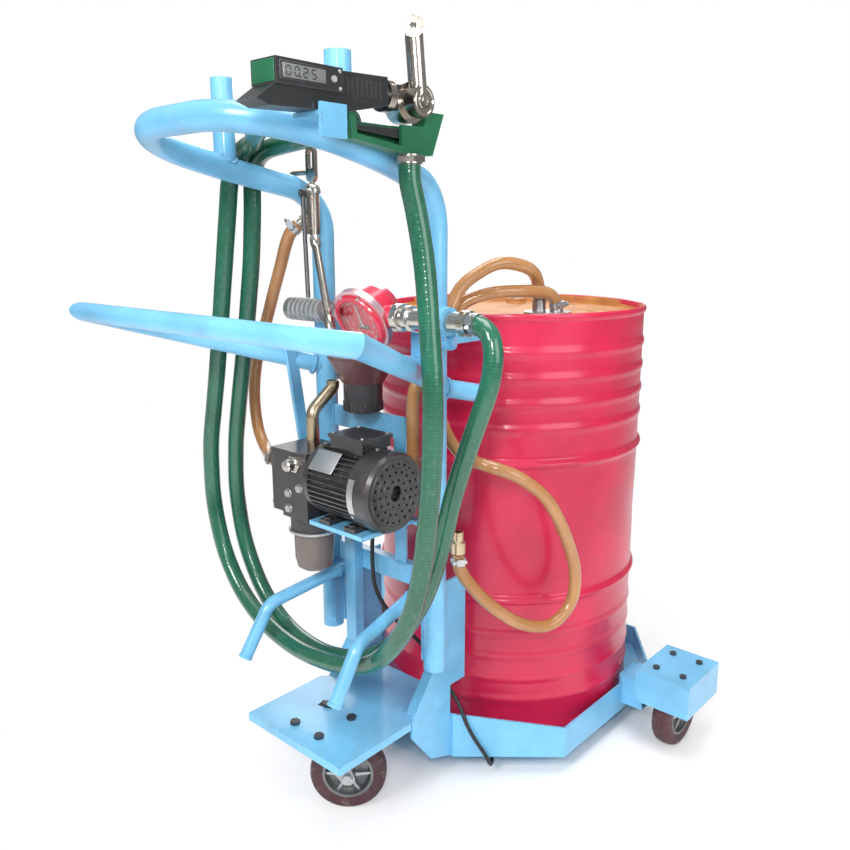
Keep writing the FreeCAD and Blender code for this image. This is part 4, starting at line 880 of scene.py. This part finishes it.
# ---- motor and pump ----
def cowl_band(name, x0, x1, radius, low, high, look):
    """A thin label bent round the fan cowl, from angle low to high above the front."""
    points = []
    rows = 25
    for k in range(rows):
        angle = low + (high - low) * k / (rows - 1)
        for x, r in ((x0, radius), (x1, radius), (x1, radius + 0.0006), (x0, radius + 0.0006)):
            points.append((x, MOTOR_Y - r * math.cos(angle), MOTOR_Z + r * math.sin(angle)))
    last = len(points) - 1
    faces = ring_faces(rows, 4) + [(0, 1, 2, 3), (last, last - 1, last - 2, last - 3)]
    sharpen(piece(name, (points, faces), look), 30.0)


def build_motor():
    # blank rating plate on a pad at the upper front of the housing
    turn = Matrix.Rotation(math.radians(-42.0), 3, "X")
    front, half, low, high, thick = MOTOR_Y - 0.0675, 0.021, -0.017, 0.044, 0.0012
    rounded_box("rating_plate_pad", (low + 0.002, front, MOTOR_Z - half + 0.002),
                (high - 0.002, front + 0.007, MOTOR_Z + half - 0.002), 0.001, black_paint, turn, MOTOR_MIDDLE)
    rounded_box("rating_plate", (low, front - thick, MOTOR_Z - half), (high, front, MOTOR_Z + half),
                0.0004, plate_alloy, turn, MOTOR_MIDDLE, segments=2)
    rivet = [(0.0018, -0.0002), (0.0016, 0.0007), (0.0006, 0.0011), (0.00005, 0.0012)]
    inset = 0.004
    for k in range(4):
        x = low + inset if k % 2 else high - inset
        z = (-1 if k < 2 else 1) * (half - inset)
        at = MOTOR_MIDDLE + turn @ Vector((x, front - thick - MOTOR_Y, z))
        turned("rating_rivet_%d" % (k + 1), rivet, at, turn @ -Y_AXIS, steel, 12, closed=True)
    tie_circle, cowl_radius = 0.0585, 0.0710
    cowl_band("cowl_label", 0.0905, 0.1045, 0.0717, math.radians(-24), math.radians(26), plate_alloy)
    shield, cowl = MOTOR_MIDDLE - X_AXIS * 0.0325, MOTOR_MIDDLE + X_AXIS * 0.095
    tie_bolts = [shield + out * tie_circle for out in spokes(4, Y_AXIS, Z_AXIS, math.pi / 4)]
    bolt_heads("motor_tie_bolts", [(at, -X_AXIS) for at in tie_bolts], 0.008, 0.004)
    cowl_screws = [(cowl + out * cowl_radius, out) for out in spokes(3, Y_AXIS, Z_AXIS, math.pi / 2)]
    bolt_heads("cowl_screws", cowl_screws, 0.0065, 0.0022)
    # pressed rings between the cowl's rows of holes
    for k, radius in enumerate((0.031, 0.045, 0.059)):
        ring = [(radius + out, rise) for out, rise in ((-0.0016, 0.0), (-0.0009, 0.0011), (0.0009, 0.0011),
                                                       (0.0016, 0.0))]
        turned("cowl_ring_%d" % (k + 1), ring, MOTOR_MIDDLE + X_AXIS * 0.139, X_AXIS, black_paint, 72)
    # terminal box: lid screws and the gland for the mains lead
    lid = 0.767
    screw = [(0.0036, -0.0002), (0.0034, 0.0012), (0.0022, 0.0022), (0.0009, 0.0024), (0.0008, 0.0016),
             (0.00005, 0.0016)]
    places = [(x, MOTOR_Y + y, lid) for x in (0.010, 0.084) for y in (-0.026, 0.036)]
    screw_heads("terminal_lid_screws", screw, places, Z_AXIS)
    gland = [(0.0115, 0.0), (0.0115, 0.003), (0.0095, 0.0045), (0.0095, 0.0085), (0.0075, 0.0125),
             (0.0046, 0.0135), (0.0046, 0.002)]
    turned("lead_gland", gland, LEAD_INLET - Y_AXIS * 0.0002, Y_AXIS, lead_rubber, 32)
    piece("lead_gland_nut", hex_shape(LEAD_INLET, Y_AXIS, 0.016, 0.005), fan_plastic, smooth=False)


def build_pump():
    # blank label on the cover, relief-valve cap, hex plugs, bowl clamp
    rounded_box("pump_label", (-0.1469, MOTOR_Y - 0.020, 0.702), (-0.1399, MOTOR_Y + 0.004, 0.714),
                0.0004, white_label)
    cap = [(0.013, 0.0), (0.013, 0.006), (0.0115, 0.008), (0.0115, 0.020), (0.0095, 0.0225), (0.0001, 0.0235)]
    valve = (-0.072, PUMP_FRONT, 0.700)
    turned("relief_valve_cap", cap, valve, -Y_AXIS, nickel, 40)
    piece("relief_valve_nut", hex_shape(valve, -Y_AXIS, 0.030, 0.005), nickel, smooth=False)
    places = [((x, PUMP_FRONT, z), -Y_AXIS) for x, z in ((-0.092, 0.610), (-0.092, 0.640), (-0.060, 0.655))]
    bolt_heads("pump_plugs", places, 0.013, 0.005, washer=0.0085)
    rib = [(0.046, 0.0), (0.048, 0.0015), (0.048, 0.0055), (0.046, 0.007), (0.0445, 0.007), (0.0445, 0.0)]
    turned("bowl_clamp_ring", rib, (BOWL_X, MOTOR_Y, 0.5565), Z_AXIS, zinc, 72)
    # the mesh strainer seen through the bowl: upright wires, hoops and a closed foot
    strands = []
    mesh_radius = 0.024
    for out in spokes(26, X_AXIS, Y_AXIS):
        x, y = BOWL_X + mesh_radius * out.x, MOTOR_Y + mesh_radius * out.y
        strands.append(swept([Vector((x, y, level)) for level in (0.492, 0.5255, 0.559)], 0.0006, 5)[0])
    hoop = [(0.0240, 0.0), (0.0248, 0.0005), (0.0240, 0.001), (0.0234, 0.0005), (0.0240, 0.0)]
    foot = [(0.0001, 0.0), (0.0250, 0.0), (0.0250, 0.005), (0.0001, 0.005)]
    for k in range(20):
        strands.append(turned_shape(hoop, (BOWL_X, MOTOR_Y, 0.493 + k * 0.0034), Z_AXIS, 40))
    strands.append(turned_shape(foot, (BOWL_X, MOTOR_Y, 0.488), Z_AXIS, 40))
    piece("strainer_mesh", joined(strands), steel)
    knob = [(0.0001, -0.0865), (0.006, -0.0865), (0.0075, -0.084), (0.0075, -0.0805), (0.012, -0.0795),
            (0.0001, -0.0785)]
    turned("bowl_drain_plug", knob, (BOWL_X, MOTOR_Y, 0.560), Z_AXIS, brass, 24)


# ---- flow meter and filter ----
def build_meter():
    right, up = X_AXIS, METER_OUT.cross(X_AXIS).normalized()
    face = METER_CENTRE + METER_OUT * DIAL_LIFT
    rim, digit_circle, cover_circle = 0.0405, 0.0275, 0.0525
    ticks = []
    for k, out in enumerate(spokes(60, up, right)):
        half_length, half_width = (0.00325, 0.0007) if k % 5 == 0 else (0.00175, 0.0004)
        ticks.append(brick(face + out * (rim - half_length) + METER_OUT * 0.00025, out * half_length,
                           out.cross(METER_OUT) * half_width, METER_OUT * 0.00025))
    piece("dial_ticks", joined(ticks), ink_white, smooth=False)
    for k, out in enumerate(spokes(10, up, right)):
        flat_digit("dial_digit_%d" % k, str(k), 0.0095, face + out * digit_circle, right, up, 0.0002)
    # counter window, with all its digits at 0
    window = face - up * 0.0115
    half_thick = METER_OUT * 0.0001
    piece("counter_window", brick(window + half_thick, right * 0.013, up * 0.0045, half_thick), ink_black,
          smooth=False)
    for k in range(4):
        place = window + right * (0.0062 * (k - 1.5)) + METER_OUT * 0.0002
        flat_digit("counter_digit_%d" % (k + 1), "0", 0.0085, place, right, up, 0.0001)
    places = [(METER_CENTRE + out * cover_circle + METER_OUT * 0.0272, METER_OUT)
              for out in spokes(8, up, right, math.pi / 8) if abs(out.x) < 0.9]
    bolt_heads("meter_cover_bolts", places, 0.0075, 0.0035)
    lip = [(0.0445, 0.0285), (0.0445, 0.0312), (0.0465, 0.0325), (0.0525, 0.0312), (0.0545, 0.0280),
           (0.0525, 0.0262)]
    turned("meter_bezel", lip + lip[:1], METER_CENTRE, METER_OUT, meter_paint, 96)
    # hex flats on the outlet line
    for k, (along, across, look) in enumerate(((0.0705, 0.046, nickel), (0.217, 0.040, brass))):
        flats = hex_shape(METER_CENTRE + X_AXIS * along, X_AXIS, across, 0.012)
        piece("outlet_hex_%d" % (k + 1), flats, look, smooth=False)
    # the filter: bolts round the front of its head and ribs round its grip
    head, bolt_circle = FILTER_AXIS + Z_AXIS * 0.8935, 0.057
    places = [(head + out * bolt_circle, Z_AXIS) for out in spokes(8, X_AXIS, Y_AXIS, 0.3)]
    bolt_heads("filter_head_bolts", [p for p in places if p[0].y < -0.44], 0.009, 0.004)
    grip, grip_radius, half_rib = FILTER_AXIS + Z_AXIS * 0.7975, 0.0372, 0.0012
    ribs = [brick(grip + out * grip_radius, Z_AXIS.cross(out) * half_rib, Z_AXIS * 0.0085, out * half_rib)
            for out in spokes(28, X_AXIS, Y_AXIS)]
    piece("filter_grip_ribs", joined(ribs), canister_paint, smooth=False)


# ---- metering gun ----
# A seven-segment digit's bars: halves across and up from its middle, and whether each lies level.
BARS = {
    "a": (0, 1, True), "g": (0, 0, True), "d": (0, -1, True),
    "f": (-1, 0.5, False), "b": (1, 0.5, False), "e": (-1, -0.5, False), "c": (1, -0.5, False),
}
LIT = {"0": "abcdef", "2": "abged", "5": "afgcd"}
DIGIT_WIDTH, DIGIT_HEIGHT, BAR_WIDTH, BAR_RISE = 0.0068, 0.0105, 0.0014, 0.0002


def segment_digit(digit, centre):
    """One seven-segment digit as small raised bars that face +X."""
    bars = []
    for key in LIT[digit]:
        i, j, level = BARS[key]
        middle = centre + Y_AXIS * (i * DIGIT_WIDTH / 2) + Z_AXIS * (j * DIGIT_HEIGHT / 2) + X_AXIS * BAR_RISE
        half_width = DIGIT_WIDTH / 2 - BAR_WIDTH * 0.65 if level else BAR_WIDTH / 2
        half_height = BAR_WIDTH / 2 if level else DIGIT_HEIGHT / 4 - BAR_WIDTH * 0.65
        bars.append(brick(middle, Y_AXIS * half_width, Z_AXIS * half_height, X_AXIS * BAR_RISE))
    return bars


def build_gun():
    screen = GUN_SIDE + 0.0022
    rounded_box("display_bezel", (GUN_SIDE - 0.001, -0.829, 1.2925), (GUN_SIDE + 0.0016, -0.7520, 1.3145),
                0.0012, bezel_black)
    rounded_box("display_lcd", (GUN_SIDE + 0.0008, -0.8245, 1.2955), (screen, -0.7565, 1.3115), 0.0005, lcd)
    bars = []
    for k, digit in enumerate("0025"):
        bars += segment_digit(digit, Vector((screen, -0.8165 + k * 0.0135, 1.3035)))
    point = Vector((screen + BAR_RISE, -0.7980, 1.2978))
    bars.append(brick(point, X_AXIS * BAR_RISE, Y_AXIS * 0.0009, Z_AXIS * 0.0009))
    piece("display_digits", joined(bars), ink_black, smooth=False)
    rounded_box("display_end_plate", (GUN_SIDE - 0.0455, -0.8350, 1.2900),
                (GUN_SIDE - 0.0025, -0.8338, 1.3162), 0.0005, guard_green)
    # grip ribs under the body and cover screws
    strips = []
    for k in range(8):
        y = -0.715 + k * 0.0085
        strips.append(upright_box((0.2515, y - 0.0018, 1.288 + 0.0002 * k), (0.2532, y + 0.0018, 1.309)))
    piece("gun_grip_ribs", joined(strips), gun_black, smooth=False)
    screw = [(0.0026, -0.0005), (0.0026, 0.0006), (0.0018, 0.0012), (0.0007, 0.0012), (0.0006, 0.0006),
             (0.00005, 0.0006)]
    screw_heads("display_screws", screw, [(GUN_SIDE, -0.7310, z) for z in (1.2925, 1.3135)], X_AXIS)
    # swivel face: concentric turned rings and a cap screw on the chrome joint
    rings = [(0.0195, 0.0), (0.0195, 0.0012), (0.0175, 0.0018), (0.0165, 0.0006), (0.0115, 0.0006),
             (0.0105, 0.0022), (0.0065, 0.0028), (0.0060, 0.0012), (0.0001, 0.0012)]
    turned("swivel_face", rings, (0.2640, -0.580, 1.294), X_AXIS, chrome, 64, body="swivel_spout")
    inlet = (0.232, -0.577, 1.2135)
    piece("gun_inlet_nut", hex_shape(inlet, Z_AXIS, 0.041, 0.0085), chrome, smooth=False)


def build_drain_gun():
    """Knurled sleeve, hose tail nut and spout collars on the hanging gun."""
    sleeve = []
    for k in range(15):
        level = 1.122 + k * 0.0040
        sleeve += [(0.0123, level), (0.0134, level + 0.0012), (0.0134, level + 0.0026),
                   (0.0123, level + 0.0038)]
    turned("drain_gun_sleeve", sleeve, DRAIN_GUN, Z_AXIS, chrome, 40)
    collar = [(0.0123, 1.184), (0.0150, 1.185), (0.0155, 1.190), (0.0140, 1.197), (0.0085, 1.2025),
              (0.0001, 1.204)]
    turned("drain_gun_cap", collar, DRAIN_GUN, Z_AXIS, nickel, 40)
    branch = DRAIN_GUN + Z_AXIS * 1.150
    tail = (Vector((-0.136, -0.482, 1.130)) - branch).normalized()
    piece("drain_gun_tail_nut", hex_shape(branch + tail * 0.0145, tail, 0.021, 0.010), brass, smooth=False)
    mouth = DRAIN_GUN + Z_AXIS * 1.118
    spout = Vector((-0.018, -0.515, 0.946)) - mouth
    wide = [(0.0072, 0.012), (0.0095, 0.014), (0.0100, 0.020), (0.0095, 0.030), (0.0078, 0.034)]
    turned("drain_spout_collar", wide, mouth, spout, nickel, 32)
    tip = [(0.0071, 0.176), (0.0092, 0.180), (0.0098, 0.196), (0.0090, 0.2025), (0.0062, 0.2045),
           (0.0055, 0.2035), (0.0050, 0.190)]
    turned("drain_spout_tip", tip, mouth, spout, chrome, 32)


# ---- casters ----
def mirrored(half):
    """A profile and its mirror image on the other side of the wheel's middle."""
    return half + [(radius, -height) for radius, height in reversed(half)]


def build_wheel(name, node, centre, axis, body):
    """A tread with moulded grooves on a cast hub with six webs each side."""
    tread = mirrored([(0.0488, -0.0180), (0.0545, -0.0200), (0.0640, -0.0202), (0.0682, -0.0194),
                      (0.0712, -0.0165), (0.0729, -0.0120), (0.0735, -0.0087), (0.0722, -0.0077),
                      (0.0722, -0.0053), (0.0736, -0.0043), (0.0739, -0.0024), (0.0726, -0.0012)])
    turned(name + "_tread", tread, centre, axis, tyre_rubber, 96, body, slot="wheel_maroon", replaces=(node,))
    hub = mirrored([(0.0062, -0.0218), (0.0125, -0.0218), (0.0140, -0.0200), (0.0150, -0.0085),
                    (0.0220, -0.0055), (0.0385, -0.0050), (0.0425, -0.0100), (0.0440, -0.0180),
                    (0.0490, -0.0182)])
    turned(name + "_hub", hub, centre, axis, hub_alloy, 96, body, slot="wheel_maroon")
    unit, side, up = basis(axis)
    webs = []
    for face_side in (-1, 1):
        for out in spokes(6, side, up):
            across = unit.cross(out)
            corners = []
            for reach, width, lift in ((0.0135, 0.0030, 0.0170), (0.0430, 0.0022, 0.0125)):
                for w in (-width, width):
                    for level in (0.0045, lift):
                        corners.append(Vector(centre) + out * reach + across * w + unit * (level * face_side))
            webs.append((corners, CUBE_FACES))
    piece(name + "_webs", joined(webs), zinc, body, smooth=False)


def build_casters():
    heading = Vector((math.cos(CASTER_HEADING), math.sin(CASTER_HEADING), 0))
    king_pin = Vector((0, CASTER_Y, 0))
    build_wheel("front_caster", "front_wheel", king_pin + Z_AXIS * AXLE_HEIGHT + heading * CASTER_TRAIL,
                Z_AXIS.cross(heading), "front_caster_wheel")
    side_x, side_y = SIDE_CASTER
    for name, side in (("right", 1), ("left", -1)):
        build_wheel(name + "_caster", name + "_wheel", (side * side_x, side_y, AXLE_HEIGHT), X_AXIS,
                    name + "_caster_wheel")
    race = [(0.0285, 0.1843), (0.0330, 0.1845), (0.0345, 0.1858), (0.0330, 0.1870), (0.0300, 0.1874),
            (0.0285, 0.1874), (0.0285, 0.1843)]
    turned("swivel_race_lower", race, king_pin, Z_AXIS, zinc, 72, body="front_caster_fork")
    cap = [(0.0285, 0.1945), (0.0345, 0.1945), (0.0360, 0.1915), (0.0345, 0.1885), (0.0320, 0.1880),
           (0.0318, 0.1900), (0.0285, 0.1905), (0.0285, 0.1945)]
    turned("swivel_race_upper", cap, king_pin, Z_AXIS, zinc, 72)


# ---- floor, light and camera ----
FLOOR_HALF = 9
ROOM_LIGHT = 0.50
# brightness of the room from straight down (0) to straight up (1)
ROOM_BANDS = ((0.0, 0.30), (0.44, 0.42), (0.50, 0.22), (0.56, 0.80), (0.72, 0.62), (0.86, 1.0), (1.0, 1.0))
LAMP_AIM = Vector((0.0, -0.3, 0.65))
# name, place, width and power of each square lamp
LAMPS = (("key_softbox", (0.5, -2.9, 2.4), 0.9, 56.0), ("fill_softbox", (3.0, -0.6, 1.7), 1.8, 34.0),
         ("back_softbox", (-2.2, 2.0, 2.4), 1.8, 40.0), ("top_softbox", (0.1, -0.4, 3.0), 1.6, 46.0),
         ("flash", (1.15, -1.75, 1.45), 0.20, 10.0))
CAMERA_AZIMUTH, CAMERA_PITCH, CAMERA_ROLL = math.radians(41.9), math.radians(-13.0), math.radians(-0.1)
CAMERA_PLACE = (1.0849, -1.4941, 1.1110 - FLOOR)
CAMERA_LENS = 34.9


def build_floor():
    """A pale sheet that fades to white away from the object, as the camera sees it."""
    floor = bpy.data.meshes.new("floor")
    corners = [(x * FLOOR_HALF, y * FLOOR_HALF, 0) for x, y in ((-1, -1), (1, -1), (1, 1), (-1, 1))]
    floor.from_pydata(corners, [], [(0, 1, 2, 3)])
    sheet = add_object("floor", floor)
    s = Shader("floor_white")
    away = s.add("VectorMath", {"operation": "LENGTH"}, i0=s.place).outputs["Value"]
    seen = s.add("LightPath").outputs["Is Camera Ray"]
    fade = s.times(s.calc("POWER", s.ramp(away, 0.35, 1.15), 0.6), seen)
    tone = s.mix(s.noise(1.4, 3.0), (0.93, 0.93, 0.93), (0.96, 0.96, 0.96))
    tone = s.mix(fade, tone, (0.0, 0.0, 0.0))
    floor.materials.append(s.finish(tone, 0.9, Specular_IOR_Level=0.0, Emission_Color=(1.0, 1.0, 1.0),
                                    Emission_Strength=fade))


def build_world():
    """The camera sees plain white; the object sees a soft room of level bands."""
    s = Shader("studio", bpy.data.worlds)
    bpy.context.scene.world = s.owner
    height = s.add("SeparateXYZ", i0=s.add("TexCoord").outputs["Generated"]).outputs[2]
    bands = s.add("ValToRGB", i0=s.add("MapRange", Value=height, From_Min=-1.0).outputs[0])
    stops = bands.color_ramp.elements
    while len(stops) < len(ROOM_BANDS):
        stops.new(0.5)
    for stop, (at, value) in zip(stops, ROOM_BANDS):
        stop.position = at
        stop.color = (value, value, value, 1.0)
    room = s.add("Background", Color=bands.outputs[0], Strength=ROOM_LIGHT).outputs[0]
    white = s.add("Background", Color=(1.0, 1.0, 1.0), Strength=1.0).outputs[0]
    seen = s.add("LightPath").outputs["Is Camera Ray"]
    s.add("OutputWorld", Surface=s.add("MixShader", i0=seen, i1=room, i2=white).outputs[0])


def build_lamps():
    for name, place, width, power in LAMPS:
        lamp = bpy.data.lights.new(name, "AREA")
        lamp.shape = "SQUARE"
        lamp.size = width
        lamp.energy = power
        holder = add_object(name, lamp)
        holder.location = place
        holder.rotation_euler = (LAMP_AIM - Vector(place)).to_track_quat("-Z", "Y").to_euler()


def build_camera():
    lens = bpy.data.cameras.new("camera")
    lens.sensor_width = 36.0
    lens.lens = CAMERA_LENS
    camera = add_object("camera", lens)
    level = math.cos(CAMERA_PITCH)
    ahead = Vector((-math.sin(CAMERA_AZIMUTH) * level, math.cos(CAMERA_AZIMUTH) * level,
                    math.sin(CAMERA_PITCH)))
    turn = ahead.to_track_quat("-Z", "Y").to_matrix() @ Matrix.Rotation(CAMERA_ROLL, 3, "Z")
    camera.matrix_world = Matrix.Translation(CAMERA_PLACE) @ turn.to_4x4()
    bpy.context.scene.camera = camera


build_drum()
build_hoses()
build_welds()
build_plate_marks()
build_motor()
build_pump()
build_meter()
build_gun()
build_drain_gun()
build_casters()
build_floor()
build_world()
build_lamps()
build_camera()
bpy.context.scene.view_settings.view_transform = "Standard"
